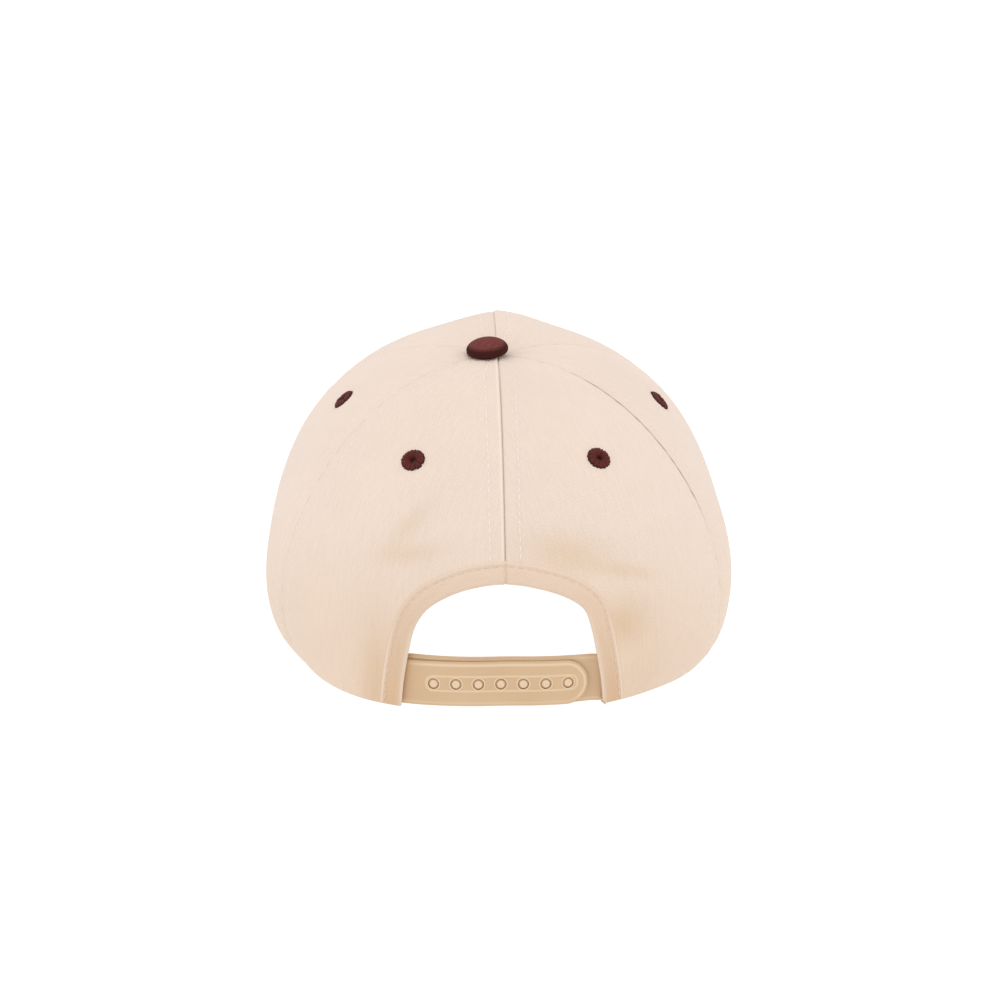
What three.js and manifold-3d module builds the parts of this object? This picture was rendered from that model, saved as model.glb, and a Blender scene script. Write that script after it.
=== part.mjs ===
// A six-panel snapback cap: a cloth crown with a covered button and thread eyelets, a stiff curved peak, a
// sweatband, and a two-part plastic snap strap across the arch at the back.
// Millimetres, +Z up. The wearer looks along +Y, so +X is the cap's right side, and the cap rests on z = 0.
import * as THREE from "three";
import { mergeVertices } from "three/addons/utils/BufferGeometryUtils.js";
import Module from "manifold-3d";

const wasm = await Module();
wasm.setup();

// General sizes
const GAP = 0.3; // clearance between neighbouring pieces
const CLOTH = 1.8; // wall of a crown panel: twill with its backing
const LOOSE_GAP = 0.75; // clearance to a curved, flat-faced wall, which lies a little off its smooth surface
const BACK = 180; // a bearing is measured in degrees from the front, turning towards the right side
const SLANT = 1e-3; // step of the finite differences that give a slope
const HALVINGS = 30; // steps of a search by halving

// Crown. Each row is a meridian of the outer face: a cubic Bezier curve from the rim, past a wall and a
// shoulder control point, to the apex that all of them share. Out is measured from the crown's axis, up from
// the floor. The left half mirrors the right half.
const APEX_HEIGHT = 108.7;
const MERIDIAN_STEP = 30;
const MERIDIANS = [
  { bearing: 0, reach: 98, rim: 15, wallOut: 101, wallUp: 83, shoulderOut: 70, shoulderUp: 129 },
  { bearing: 30, reach: 96, rim: 11.2, wallOut: 103, wallUp: 78, shoulderOut: 74, shoulderUp: 124 },
  { bearing: 60, reach: 88, rim: 5, wallOut: 103, wallUp: 60, shoulderOut: 77, shoulderUp: 119 },
  { bearing: 90, reach: 81, rim: 0, wallOut: 106, wallUp: 39, shoulderOut: 66, shoulderUp: 119 },
  { bearing: 120, reach: 86, rim: 0, wallOut: 117, wallUp: 33, shoulderOut: 69, shoulderUp: 116 },
  { bearing: 150, reach: 99.5, rim: 0, wallOut: 110, wallUp: 45, shoulderOut: 65, shoulderUp: 114.5 },
  { bearing: 180, reach: 99.5, rim: 0, wallOut: 101, wallUp: 50, shoulderOut: 55, shoulderUp: 114 },
];
// The cloth stands up beside the front seam, a little to its right. It rises and falls between these rises.
const FRONT_RIDGE = { height: 3.6, offset: 3, width: 15, fade: 15, from: 0.14, full: 0.86, fall: 0.8, to: 1 };
const SEAM_STEP = 60; // six panels
const SEAM_DIP = { depth: 0.7, width: 9 }; // the cloth is drawn in along each seam
const TIP_REACH = 3; // the panel tips leave a hole of this radius for the button's shank
const PANEL_COLUMNS = 10;
const PANEL_ROWS = 15;
const PANEL_CROWDING = 0.5; // 0 spaces a panel's columns evenly, 1 crowds them most beside the seams
const WALL_TOP = 0.7; // the rise below which the wall climbs all the way
const CROWN_START = 0.5; // the rise above which the crown narrows all the way

// Soft dents pressed into the cloth, each a smooth hollow that is longer than it is wide. A depth below zero
// is a bulge. Length runs along a level line, turned by tilt.
const DENTS = [
  { bearing: 202, height: 60, length: 24, width: 18, tilt: 55, depth: 1.6 },
  { bearing: 160, height: 56, length: 22, width: 20, tilt: -35, depth: 1.8 },
  { bearing: 212, height: 24, length: 26, width: 20, tilt: 95, depth: 1.4 },
  { bearing: 150, height: 26, length: 24, width: 16, tilt: 80, depth: 1.4 },
  { bearing: 125, height: 7, length: 44, width: 18, tilt: 0, depth: -2.2 },
  { bearing: 146, height: 0, length: 36, width: 14, tilt: 0, depth: 2.4 },
  { bearing: 204, height: 0, length: 40, width: 16, tilt: 0, depth: -1.2 },
];

// Arch above the strap: how far it reaches to the left and right of the back seam at each height
const ARCH = [
  { height: 0, left: 38.2, right: 35.4 },
  { height: 10, left: 37.2, right: 34.4 },
  { height: 20, left: 35.5, right: 32.8 },
  { height: 29, left: 33.2, right: 30.9 },
  { height: 35.5, left: 28.8, right: 28.2 },
  { height: 40, left: 21.6, right: 21 },
  { height: 43, left: 12.4, right: 10.6 },
  { height: 44.3, left: 0.6, right: -0.6 },
];
const ARCH_SEGMENTS = 30;

// Eyelets, each a thread ring that is sewn through its panel and lies over both faces
const EYELETS = [
  { name: "eyelet_front_right", bearing: 30, rise: 0.575 },
  { name: "eyelet_side_right", bearing: 85.5, rise: 0.615 },
  { name: "eyelet_back_right", bearing: 149, rise: 0.58 },
  { name: "eyelet_back_left", bearing: 208.9, rise: 0.58 },
  { name: "eyelet_side_left", bearing: 270, rise: 0.645 },
  { name: "eyelet_front_left", bearing: 330, rise: 0.575 },
];
const EYELET_NECK = 2.2; // radius where it passes through the cloth
const EYELET_SIDES = 16;

// Half sections of an eyelet's two rims, from the outside in. Height is measured off the face of the cloth.
const EYELET_OUTER_RIM = [
  { radius: 4.5, height: 0 },
  { radius: 4.05, height: 0.56 },
  { radius: 2.7, height: 0.8 },
  { radius: 0.9, height: 0.32 },
];
const EYELET_INNER_RIM = [
  { radius: 3.6, height: 0 },
  { radius: 3.6, height: 0.48 },
  { radius: 0.9, height: 0.8 },
];

// Button: a domed disc that sits a little left of the seams, its shank and the disc that holds it inside
const BUTTON = { radius: 8, footRadius: 7.5, domeHeight: 4.1, edge: 1.3, shankRadius: 1.6 };
const BUTTON_SEAT = { across: -3.8, forward: -2.5, leanAcross: 0.11, leanForward: 0.06 }; // slopes added
const BUTTON_BACK = { radius: 6, thickness: 1.2, depth: 3.4 };
const BUTTON_SIDES = 28;
const DOME_STEPS = 6;
const SEAT_STEP = 15; // degrees between the points of the crown that the button's seat clears

// Peak: the right half of its outer edge, from its corner at the rim to the middle of the front
const PEAK_OUTLINE = [
  { across: 76.5, forward: 46 },
  { across: 83.5, forward: 64 },
  { across: 84, forward: 92 },
  { across: 74, forward: 128 },
  { across: 45, forward: 156 },
  { across: 0, forward: 167 },
];
const PEAK = { thickness: 3.4, halfBearing: 58, slope: 0.03, widest: 82.5 };
const PEAK_ROUNDING = { share: 0.04, fullness: 0.4 }; // the thinned edge: its share of the reach, how thick
const PEAK_COLUMNS = 26;
const PEAK_ROWS = 9;
const PEAK_CROWDING = 1.5; // over 1 crowds the rows beside the thinned edge

// Sweatband: it passes inside the strap's tongues at both ends
const BAND = { thickness: 1.5, height: 30, aboveRim: 0.6, endBearing: 155, easeFrom: 134, easeTo: 146 };
const BAND_COLUMNS = 60;
const BAND_ROWS = 2;

// Snap strap. Arcs are lengths along the strap from the middle of the back, positive to the right.
const STRAP = { thickness: 1.3, height: 16.6, bottom: 0.3, radius: 98, tongueArc: 46, rows: 2 };
const HOLE_STRAP = { tipArc: 30.3, tipRadius: 8.3, columns: 30 };
const STUD_STRAP = { tipArc: -41.3, tipRadius: 6, height: 17.9, endLift: 0.7, columns: 34 };
const STUD_STRAP_STEP = { from: 31, to: 37 }; // past the hole strap's tip it steps out to the panels
const SNAPS = { count: 7, firstArc: -26.6, pitch: 8.2, height: 8.7, holeRadius: 2.05 };
const STUD_ROOT = 0.6; // how far a stud reaches into its own strap
const SNAP_SIDES = 12;
const TIP_SPARE = 2; // a strap is drawn this far past its tip, and then cut
const OVERCUT = 0.01; // a cutter clears a face that it leaves alone by this much

// Half section of a stud's head. Height is measured off the outer face of the hole strap.
const STUD_HEAD = [
  { radius: 1.6, height: -0.1 },
  { radius: 1.15, height: 0.35 },
  { radius: 0, height: 0.5 },
];

const MATERIALS = {
  twill: new THREE.MeshStandardMaterial({ color: 0xf0dcce, roughness: 0.9, metalness: 0 }),
  maroonCloth: new THREE.MeshStandardMaterial({ color: 0x653c36, roughness: 0.85, metalness: 0 }),
  maroonThread: new THREE.MeshStandardMaterial({ color: 0x552d26, roughness: 0.7, metalness: 0 }),
  lining: new THREE.MeshStandardMaterial({ color: 0xe6d4c4, roughness: 0.95, metalness: 0 }),
  strapPlastic: new THREE.MeshStandardMaterial({ color: 0xdaba96, roughness: 0.45, metalness: 0 }),
};

const { clamp, degToRad, euclideanModulo, inverseLerp, lerp, radToDeg, smoothstep } = THREE.MathUtils;

// Crown surface

// A column of the meridian table at any bearing, by a Catmull-Rom curve through the rows.
function meridianValue(column, bearing) {
  const rowCount = MERIDIANS.length - 1;
  const place = euclideanModulo(bearing, 360) / MERIDIAN_STEP;
  const row = Math.floor(place);
  const at = (k) => {
    const turn = euclideanModulo(row + k, 2 * rowCount);
    return MERIDIANS[Math.min(turn, 2 * rowCount - turn)][column];
  };
  const f = place - row;
  const [a, b, c, d] = [at(-1), at(0), at(1), at(2)];
  const square = (2 * a - 5 * b + 4 * c - d) * f ** 2;
  const cube = (3 * b - 3 * c + d - a) * f ** 3;
  return (2 * b + (c - a) * f + square + cube) / 2;
}

function bezier(t, a, b, c, d) {
  const s = 1 - t;
  return s ** 3 * a + 3 * s ** 2 * t * b + 3 * s * t ** 2 * c + t ** 3 * d;
}

function reachAt(bearing, rise) {
  const at = (column) => meridianValue(column, bearing);
  return bezier(rise, at("reach"), at("wallOut"), at("shoulderOut"), 0);
}

function heightAt(bearing, rise) {
  const at = (column) => meridianValue(column, bearing);
  return bezier(rise, Math.max(0, at("rim")), at("wallUp"), at("shoulderUp"), APEX_HEIGHT);
}

function ridgeAt(across, forward, rise) {
  const { height, offset, width, fade, from, full, fall, to } = FRONT_RIDGE;
  const overForehead = clamp(forward / fade, 0, 1);
  const alongSeam = clamp(inverseLerp(from, full, rise), 0, 1) * clamp(inverseLerp(to, fall, rise), 0, 1);
  return height * Math.exp(-(((across - offset) / width) ** 2)) * overForehead * alongSeam;
}

// The smooth surface, before seams and dents. rise runs from 0 at the rim to 1 at the apex.
function smoothPoint(bearing, rise) {
  const reach = reachAt(bearing, rise);
  const across = reach * Math.sin(degToRad(bearing));
  const forward = reach * Math.cos(degToRad(bearing));
  return new THREE.Vector3(across, forward, heightAt(bearing, rise) + ridgeAt(across, forward, rise));
}

function crownNormal(bearing, rise) {
  const low = Math.max(0, rise - SLANT);
  const up = smoothPoint(bearing, rise + SLANT).sub(smoothPoint(bearing, low));
  const round = smoothPoint(bearing + SLANT, rise).sub(smoothPoint(bearing - SLANT, rise));
  return up.cross(round).normalize();
}

function bearingBetween(from, to) {
  return euclideanModulo(to - from + 180, 360) - 180;
}

function dentDepth(dent, bearing, reach, height) {
  const side = reach * degToRad(bearingBetween(bearing, dent.bearing));
  const up = height - dent.height;
  const tilt = degToRad(dent.tilt);
  const along = (side * Math.cos(tilt) + up * Math.sin(tilt)) / (dent.length / 2);
  const over = (up * Math.cos(tilt) - side * Math.sin(tilt)) / (dent.width / 2);
  return dent.depth * Math.exp(-(along ** 2) - over ** 2);
}

// How far the cloth lies outside the smooth surface; it is drawn in at seams and dents.
function relief(bearing, rise) {
  const reach = reachAt(bearing, rise);
  const height = heightAt(bearing, rise);
  const nearestSeam = SEAM_STEP * Math.round(bearing / SEAM_STEP);
  const fromSeam = reach * degToRad(bearing - nearestSeam);
  const dip = SEAM_DIP.depth * Math.exp(-((fromSeam / SEAM_DIP.width) ** 2));
  return DENTS.reduce((out, dent) => out - dentDepth(dent, bearing, reach, height), -dip);
}

// A point at a depth below the crown's outer face, along the normal.
function clothPoint(bearing, rise, depth) {
  const out = relief(bearing, rise) - depth;
  return smoothPoint(bearing, rise).addScaledVector(crownNormal(bearing, rise), out);
}

// The rise between low and high where test turns from true to false.
function riseWhere(test, low, high) {
  for (let k = 0; k < HALVINGS; k++) {
    const middle = (low + high) / 2;
    if (test(middle)) low = middle;
    else high = middle;
  }
  return (low + high) / 2;
}

// The rise at which a surface that lies at a depth below the outer face passes a height.
function riseAtHeight(bearing, height, depth) {
  return riseWhere((rise) => clothPoint(bearing, rise, depth).z < height, 0, WALL_TOP);
}

function riseAtReach(bearing, reach) {
  return riseWhere((rise) => reachAt(bearing, rise) > reach, CROWN_START, 1);
}

// A point at a given height and depth, for the band and the straps.
function wallPoint(bearing, height, depth) {
  return clothPoint(bearing, riseAtHeight(bearing, height, depth), depth).setZ(height);
}

// Solids

function geometryFrom(positions, index) {
  const geometry = new THREE.BufferGeometry();
  geometry.setAttribute("position", new THREE.Float32BufferAttribute(positions, 3));
  geometry.setIndex(index);
  geometry.computeVertexNormals();
  return geometry;
}

// A closed slab between two grids. place(u, v, inner) gives a point, u and v run from 0 to 1, and the outer
// face looks against u x v.
function slab(columns, rows, place) {
  const positions = [];
  for (const inner of [false, true])
    for (let j = 0; j <= rows; j++)
      for (let i = 0; i <= columns; i++) positions.push(...place(i / columns, j / rows, inner).toArray());
  const outer = (i, j) => j * (columns + 1) + i;
  const inner = (i, j) => outer(i, j) + (columns + 1) * (rows + 1);
  const index = [];
  const quad = (a, b, c, d) => index.push(a, b, c, a, c, d);
  for (let j = 0; j < rows; j++)
    for (let i = 0; i < columns; i++) {
      quad(outer(i, j), outer(i, j + 1), outer(i + 1, j + 1), outer(i + 1, j));
      quad(inner(i, j), inner(i + 1, j), inner(i + 1, j + 1), inner(i, j + 1));
    }
  for (let i = 0; i < columns; i++) {
    quad(outer(i, 0), outer(i + 1, 0), inner(i + 1, 0), inner(i, 0));
    quad(outer(i, rows), inner(i, rows), inner(i + 1, rows), outer(i + 1, rows));
  }
  for (let j = 0; j < rows; j++) {
    quad(outer(0, j), inner(0, j), inner(0, j + 1), outer(0, j + 1));
    quad(outer(columns, j), outer(columns, j + 1), inner(columns, j + 1), inner(columns, j));
  }
  return geometryFrom(positions, index);
}

function solidOf(geometry) {
  const bare = geometry.clone();
  bare.deleteAttribute("normal");
  bare.deleteAttribute("uv");
  const merged = mergeVertices(bare);
  const vertProperties = new Float32Array(merged.getAttribute("position").array);
  const triVerts = new Uint32Array(merged.getIndex().array);
  return new wasm.Manifold(new wasm.Mesh({ numProp: 3, vertProperties, triVerts }));
}

function geometryOf(solid) {
  const mesh = solid.getMesh();
  const positions = [];
  for (let k = 0; k < mesh.numVert; k++) {
    positions.push(...mesh.vertProperties.subarray(k * mesh.numProp, k * mesh.numProp + 3));
  }
  return geometryFrom(positions, Array.from(mesh.triVerts));
}

// A prism of a shape drawn in X and Z, reaching from the middle of the cap out past its back.
function backPrism(shape) {
  const length = 150;
  const prism = new THREE.ExtrudeGeometry(shape, { depth: length, bevelEnabled: false, curveSegments: 10 });
  return solidOf(prism.rotateX(Math.PI / 2));
}

// Turns a geometry made round the Y axis so that the axis follows a normal at a point.
function standOn(geometry, point, normal) {
  const turn = new THREE.Quaternion().setFromUnitVectors(new THREE.Vector3(0, 1, 0), normal);
  return geometry.applyQuaternion(turn).translate(point.x, point.y, point.z);
}

function meshOf(name, geometry, material) {
  const mesh = new THREE.Mesh(geometry, material);
  mesh.name = name;
  return mesh;
}

// Crown panels

function panelSlab(fromSeam, toSeam) {
  return slab(PANEL_COLUMNS, PANEL_ROWS, (u, v, inner) => {
    const middle = (fromSeam + toSeam) / 2;
    const rise = v * riseAtReach(lerp(fromSeam, toSeam, u), TIP_REACH);
    const halfGap = radToDeg(GAP / 2 / reachAt(middle, rise));
    const crowded = lerp(u, (1 - Math.cos(Math.PI * u)) / 2, PANEL_CROWDING);
    const bearing = lerp(fromSeam + halfGap, toSeam - halfGap, crowded);
    const point = clothPoint(bearing, rise, inner ? CLOTH : 0);
    return v === 0 ? point.setZ(heightAt(bearing, 0)) : point;
  });
}

function archPrism() {
  const drop = -10;
  const right = ARCH.map((row) => new THREE.Vector2(row.right, row.height));
  const left = ARCH.slice(0, -1).map((row) => new THREE.Vector2(-row.left, row.height)).reverse();
  const edge = new THREE.SplineCurve([...right, ...left]).getSpacedPoints(ARCH_SEGMENTS);
  const foot = (point) => new THREE.Vector2(point.x, drop);
  return backPrism(new THREE.Shape([foot(edge[0]), ...edge, foot(edge.at(-1))]));
}

function eyeletFrame(row) {
  return { point: clothPoint(row.bearing, row.rise, 0), normal: crownNormal(row.bearing, row.rise) };
}

function eyeletBore(row) {
  const { point, normal } = eyeletFrame(row);
  const radius = EYELET_NECK + GAP;
  const length = 6 * CLOTH;
  const bore = new THREE.CylinderGeometry(radius, radius, length, EYELET_SIDES);
  return solidOf(standOn(bore, point, normal));
}

function panel(name, fromSeam, isBack) {
  const toSeam = fromSeam + SEAM_STEP;
  const eyelet = EYELETS.find((row) => row.bearing > fromSeam && row.bearing < toSeam);
  let solid = solidOf(panelSlab(fromSeam, toSeam)).subtract(eyeletBore(eyelet));
  if (isBack) solid = solid.subtract(archPrism());
  return meshOf(name, geometryOf(solid), MATERIALS.twill);
}

function crownPanels() {
  return [
    panel("front_panel_right", 0, false),
    panel("side_panel_right", 60, false),
    panel("back_panel_right", 120, true),
    panel("back_panel_left", 180, true),
    panel("side_panel_left", 240, false),
    panel("front_panel_left", 300, false),
  ];
}

// Eyelets and button

function lathe(profile, sides) {
  return new THREE.LatheGeometry(profile.map((row) => new THREE.Vector2(row.radius, row.height)), sides);
}

function eyelet(row) {
  const under = -CLOTH - LOOSE_GAP;
  const outer = EYELET_OUTER_RIM.map((row) => ({ radius: row.radius, height: GAP + row.height }));
  const inner = EYELET_INNER_RIM.map((row) => ({ radius: row.radius, height: under - row.height })).reverse();
  const neck = [under, GAP].map((height) => ({ radius: EYELET_NECK, height }));
  const profile = [...inner, ...neck, ...outer, inner[0]];
  const { point, normal } = eyeletFrame(row);
  const mesh = meshOf(row.name, lathe(profile, EYELET_SIDES), MATERIALS.maroonThread);
  mesh.position.copy(point);
  mesh.quaternion.setFromUnitVectors(new THREE.Vector3(0, 1, 0), normal);
  return mesh;
}

// Height of the crown's outer face over a point near the apex.
function crownHeight(across, forward) {
  const bearing = radToDeg(Math.atan2(across, forward));
  const reach = Math.max(TIP_REACH, Math.hypot(across, forward));
  return clothPoint(bearing, riseAtReach(bearing, reach), 0).z;
}

// The plane that the button's underside lies in: it follows the cloth's slope and clears its highest point.
function buttonSeat() {
  const r = BUTTON.radius;
  const seat = BUTTON_SEAT;
  const height = (across, forward) => crownHeight(seat.across + across, seat.forward + forward);
  const slopeX = (height(r, 0) - height(-r, 0)) / (2 * r) + seat.leanAcross;
  const slopeY = (height(0, r) - height(0, -r)) / (2 * r) + seat.leanForward;
  let level = 0;
  for (let bearing = 0; bearing < 360; bearing += SEAT_STEP) {
    const across = r * Math.sin(degToRad(bearing));
    const forward = r * Math.cos(degToRad(bearing));
    level = Math.max(level, height(across, forward) - slopeX * across - slopeY * forward);
  }
  const normal = new THREE.Vector3(-slopeX, -slopeY, 1).normalize();
  return { point: new THREE.Vector3(seat.across, seat.forward, level + GAP), normal };
}

function topButton() {
  const seat = buttonSeat();
  const dome = [{ radius: 0, height: 0 }, { radius: BUTTON.footRadius, height: 0 }];
  for (let k = 0; k <= DOME_STEPS; k++) {
    const angle = (k / DOME_STEPS) * (Math.PI / 2);
    const height = BUTTON.edge + BUTTON.domeHeight * Math.sin(angle);
    dome.push({ radius: k === DOME_STEPS ? 0 : BUTTON.radius * Math.cos(angle), height });
  }
  const tipTop = crownHeight(0, -TIP_REACH);
  const backTop = tipTop - BUTTON_BACK.depth;
  const backBottom = backTop - BUTTON_BACK.thickness;
  const shankTop = seat.point.z + BUTTON.edge;
  const shank = [
    { radius: 0, height: backBottom },
    { radius: BUTTON_BACK.radius, height: backBottom },
    { radius: BUTTON_BACK.radius, height: backTop },
    { radius: BUTTON.shankRadius, height: backTop },
    { radius: BUTTON.shankRadius, height: shankTop },
    { radius: 0, height: shankTop },
  ];
  const domeSolid = solidOf(standOn(lathe(dome, BUTTON_SIDES), seat.point, seat.normal));
  const shankSolid = solidOf(lathe(shank, SNAP_SIDES).rotateX(Math.PI / 2));
  return meshOf("top_button", geometryOf(domeSolid.add(shankSolid)), MATERIALS.maroonCloth);
}

// Peak

// The peak's top face where it leaves the rim, and along its outer edge. The edge is arched across, so that
// the underside just meets z = 0 where the peak is widest.
function peakRoot(bearing) {
  const reach = reachAt(bearing, 0) - CLOTH;
  const height = heightAt(bearing, 0) - GAP;
  return new THREE.Vector3(reach * Math.sin(degToRad(bearing)), reach * Math.cos(degToRad(bearing)), height);
}

function peakEdge(point) {
  const root = peakRoot(0);
  const middle = root.z + PEAK.slope * (point.y - root.y);
  const arch = (root.z - PEAK.thickness) / PEAK.widest ** 2;
  return new THREE.Vector3(point.x, point.y, middle - arch * point.x ** 2);
}

function peak() {
  const half = PEAK_OUTLINE.map((row) => new THREE.Vector2(row.across, row.forward));
  const mirrored = half.map((point) => new THREE.Vector2(-point.x, point.y));
  const outline = new THREE.SplineCurve([...mirrored, ...half.slice(0, -1).reverse()]);
  const geometry = slab(PEAK_COLUMNS, PEAK_ROWS, (u, v, inner) => {
    const bearing = lerp(-PEAK.halfBearing, PEAK.halfBearing, u);
    const share = v ** PEAK_CROWDING;
    const point = peakEdge(outline.getPointAt(u)).lerp(peakRoot(bearing), share);
    const fullness = clamp(lerp(PEAK_ROUNDING.fullness, 1, share / PEAK_ROUNDING.share), 0, 1);
    const middle = point.z - PEAK.thickness / 2;
    const offset = (fullness * PEAK.thickness) / 2;
    return point.setZ(Math.max(0, inner ? middle - offset : middle + offset));
  });
  return meshOf("peak", geometry, MATERIALS.maroonCloth);
}

// Sweatband

function sweatband() {
  const geometry = slab(BAND_COLUMNS, BAND_ROWS, (u, v, inner) => {
    const bearing = lerp(-BAND.endBearing, BAND.endBearing, u);
    const height = heightAt(bearing, 0) + BAND.aboveRim + v * BAND.height;
    const insideStrap = smoothstep(Math.abs(bearing), BAND.easeFrom, BAND.easeTo);
    const outerDepth = CLOTH + LOOSE_GAP + insideStrap * (STRAP.thickness + GAP);
    return wallPoint(bearing, height, outerDepth + (inner ? BAND.thickness : 0));
  });
  return meshOf("sweatband", geometry, MATERIALS.lining);
}

// Snap strap

function strapBearing(arc) {
  return BACK - radToDeg(arc / STRAP.radius);
}

const OUTER_DEPTH = CLOTH + LOOSE_GAP; // the hole strap, and the stud strap's tongue, lie against the panels
const INNER_DEPTH = OUTER_DEPTH + STRAP.thickness + GAP; // the stud strap passes inside the hole strap

function studStrapDepth(arc) {
  return lerp(INNER_DEPTH, OUTER_DEPTH, smoothstep(arc, STUD_STRAP_STEP.from, STUD_STRAP_STEP.to));
}

function strapSlab(fromArc, toArc, columns, height, bottomAt, depthAt) {
  return slab(columns, STRAP.rows, (u, v, inner) => {
    const arc = lerp(fromArc, toArc, u);
    const depth = depthAt(arc) + (inner ? STRAP.thickness : 0);
    return wallPoint(strapBearing(arc), bottomAt(arc) + v * height, depth);
  });
}

// A tall outline with one rounded end, for cutting a strap's tip. side is 1 where the tip points right.
function tipPrism(tip, radius, side, bottom, top) {
  const far = -side * STRAP.radius;
  const shape = new THREE.Shape();
  shape.moveTo(far, bottom);
  shape.lineTo(tip - side * radius, bottom);
  shape.quadraticCurveTo(tip, bottom, tip, bottom + radius);
  shape.lineTo(tip, top - radius);
  shape.quadraticCurveTo(tip, top, tip - side * radius, top);
  shape.lineTo(far, top);
  return backPrism(shape);
}

function snapFrames() {
  return Array.from({ length: SNAPS.count }, (_, k) => {
    const arc = SNAPS.firstArc + k * SNAPS.pitch;
    const bearing = strapBearing(arc);
    const rise = riseAtHeight(bearing, SNAPS.height, OUTER_DEPTH);
    const normal = crownNormal(bearing, rise);
    return { arc, normal, point: wallPoint(bearing, SNAPS.height, OUTER_DEPTH) };
  });
}

function holeStrap() {
  const bottom = STRAP.bottom;
  const top = bottom + STRAP.height;
  const { tipArc, tipRadius, columns } = HOLE_STRAP;
  const drawnTo = tipArc + TIP_SPARE;
  const flat = strapSlab(drawnTo, -STRAP.tongueArc, columns, STRAP.height, () => bottom, () => OUTER_DEPTH);
  const band = solidOf(flat);
  const tip = STRAP.radius * Math.sin(tipArc / STRAP.radius);
  let solid = band.intersect(tipPrism(tip, tipRadius, 1, bottom - OVERCUT, top + OVERCUT));
  const r = SNAPS.holeRadius;
  for (const { point, normal } of snapFrames()) {
    const length = 4 * STRAP.thickness;
    const bore = new THREE.CylinderGeometry(r, r, length, SNAP_SIDES);
    solid = solid.subtract(solidOf(standOn(bore, point, normal)));
  }
  return meshOf("hole_strap", geometryOf(solid), MATERIALS.strapPlastic);
}

function stud({ point, normal }) {
  const base = OUTER_DEPTH - INNER_DEPTH - STUD_ROOT;
  const foot = [{ radius: 0, height: base }, { radius: STUD_HEAD[0].radius, height: base }];
  return solidOf(standOn(lathe([...foot, ...STUD_HEAD], SNAP_SIDES), point, normal));
}

function studStrap() {
  const { tipArc, tipRadius, height, endLift, columns } = STUD_STRAP;
  const bottomAt = (arc) => STRAP.bottom + endLift * clamp(arc / tipArc, 0, 1) ** 2;
  const drawnTo = tipArc - TIP_SPARE;
  const band = solidOf(strapSlab(STRAP.tongueArc, drawnTo, columns, height, bottomAt, studStrapDepth));
  const tip = STRAP.radius * Math.sin(tipArc / STRAP.radius);
  const low = bottomAt(tipArc);
  let solid = band.intersect(tipPrism(tip, tipRadius, -1, 0, low + height));
  for (const frame of snapFrames()) solid = solid.add(stud(frame));
  return meshOf("stud_strap", geometryOf(solid), MATERIALS.strapPlastic);
}

// The whole cap, centred over its own footprint
const cap = new THREE.Group();
cap.name = "snapback_cap";
cap.add(...crownPanels(), ...EYELETS.map(eyelet), topButton(), peak(), sweatband(), holeStrap(), studStrap());
cap.updateMatrixWorld(true);
const footprint = new THREE.Box3().setFromObject(cap, true);
cap.position.y = -(footprint.min.y + footprint.max.y) / 2;

export default cap;
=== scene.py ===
# %% [markdown]
# # A snapback cap, dressed for a studio picture
# A cap like this is six cloth panels sewn edge to edge, a stiff peak, a covered button, six thread eyelets, a
# band inside the rim, and a moulded strap that snaps shut under an arch at the back. The solid model already
# says where each piece sits. This lesson gives every piece its cloth, thread or plastic, and moves none.

# %% Load the solid model as a fixed frame
import math

import bpy
import numpy as np
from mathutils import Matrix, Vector


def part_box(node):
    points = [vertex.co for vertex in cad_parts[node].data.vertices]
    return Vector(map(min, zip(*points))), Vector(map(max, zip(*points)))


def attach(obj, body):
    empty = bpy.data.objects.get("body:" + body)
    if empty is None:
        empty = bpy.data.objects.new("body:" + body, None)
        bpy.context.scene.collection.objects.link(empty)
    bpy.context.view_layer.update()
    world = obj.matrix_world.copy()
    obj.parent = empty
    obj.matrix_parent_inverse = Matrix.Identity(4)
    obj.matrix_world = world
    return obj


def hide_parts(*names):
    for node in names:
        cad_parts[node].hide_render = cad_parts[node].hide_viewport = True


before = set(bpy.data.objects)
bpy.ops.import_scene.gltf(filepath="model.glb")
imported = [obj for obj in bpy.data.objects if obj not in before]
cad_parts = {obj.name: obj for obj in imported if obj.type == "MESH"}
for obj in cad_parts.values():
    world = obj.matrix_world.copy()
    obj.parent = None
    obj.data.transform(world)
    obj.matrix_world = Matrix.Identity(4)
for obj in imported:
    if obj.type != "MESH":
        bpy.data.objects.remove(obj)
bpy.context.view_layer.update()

# %% [markdown]
# ## Units, and how a primitive becomes a piece
# The sizes of a cap are easiest to read in millimetres, so the shapes are worked out in millimetres round the
# crown's own axis and turned into metres when they are placed. An operator acts on all that is selected, so
# everything is deselected before each new primitive. What a formula can't give is kept in short tables.

# %% Placing, naming and reading back
MM = 0.001
PEAK_REACH = 167  # from the crown's axis to the front of the peak
AXIS_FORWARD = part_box("peak")[1].y / MM - PEAK_REACH  # where the crown's axis stands in the frame
SHARP_ANGLE = math.radians(40)  # edges that turn less than this are shaded smooth
rng = np.random.default_rng(7)


def to_frame(points):
    """Turns millimetres round the crown's axis into metres in the frame."""
    return (np.asarray(points, float) + [0, AXIS_FORWARD, 0]) * MM


def deselect_all():
    bpy.ops.object.select_all(action="DESELECT")


def select_only(*pieces):
    deselect_all()
    for piece in pieces:
        piece.select_set(True)
    bpy.context.view_layer.objects.active = pieces[0]


def newest(name):
    piece = bpy.context.object
    piece.name = piece.data.name = name
    return piece


def read(items, key, width=1, kind=np.float32):
    """A value of each item of a mesh, or as many values as width, in one array."""
    values = np.empty(len(items) * width, kind)
    items.foreach_get(key, values)
    return values.reshape(-1, width) if width > 1 else values


def points_of(piece):
    return read(piece.data.vertices, "co", 3).astype(float)


def set_points(piece, points):
    piece.data.vertices.foreach_set("co", np.asarray(points, np.float32).ravel())
    piece.data.update()


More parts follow.
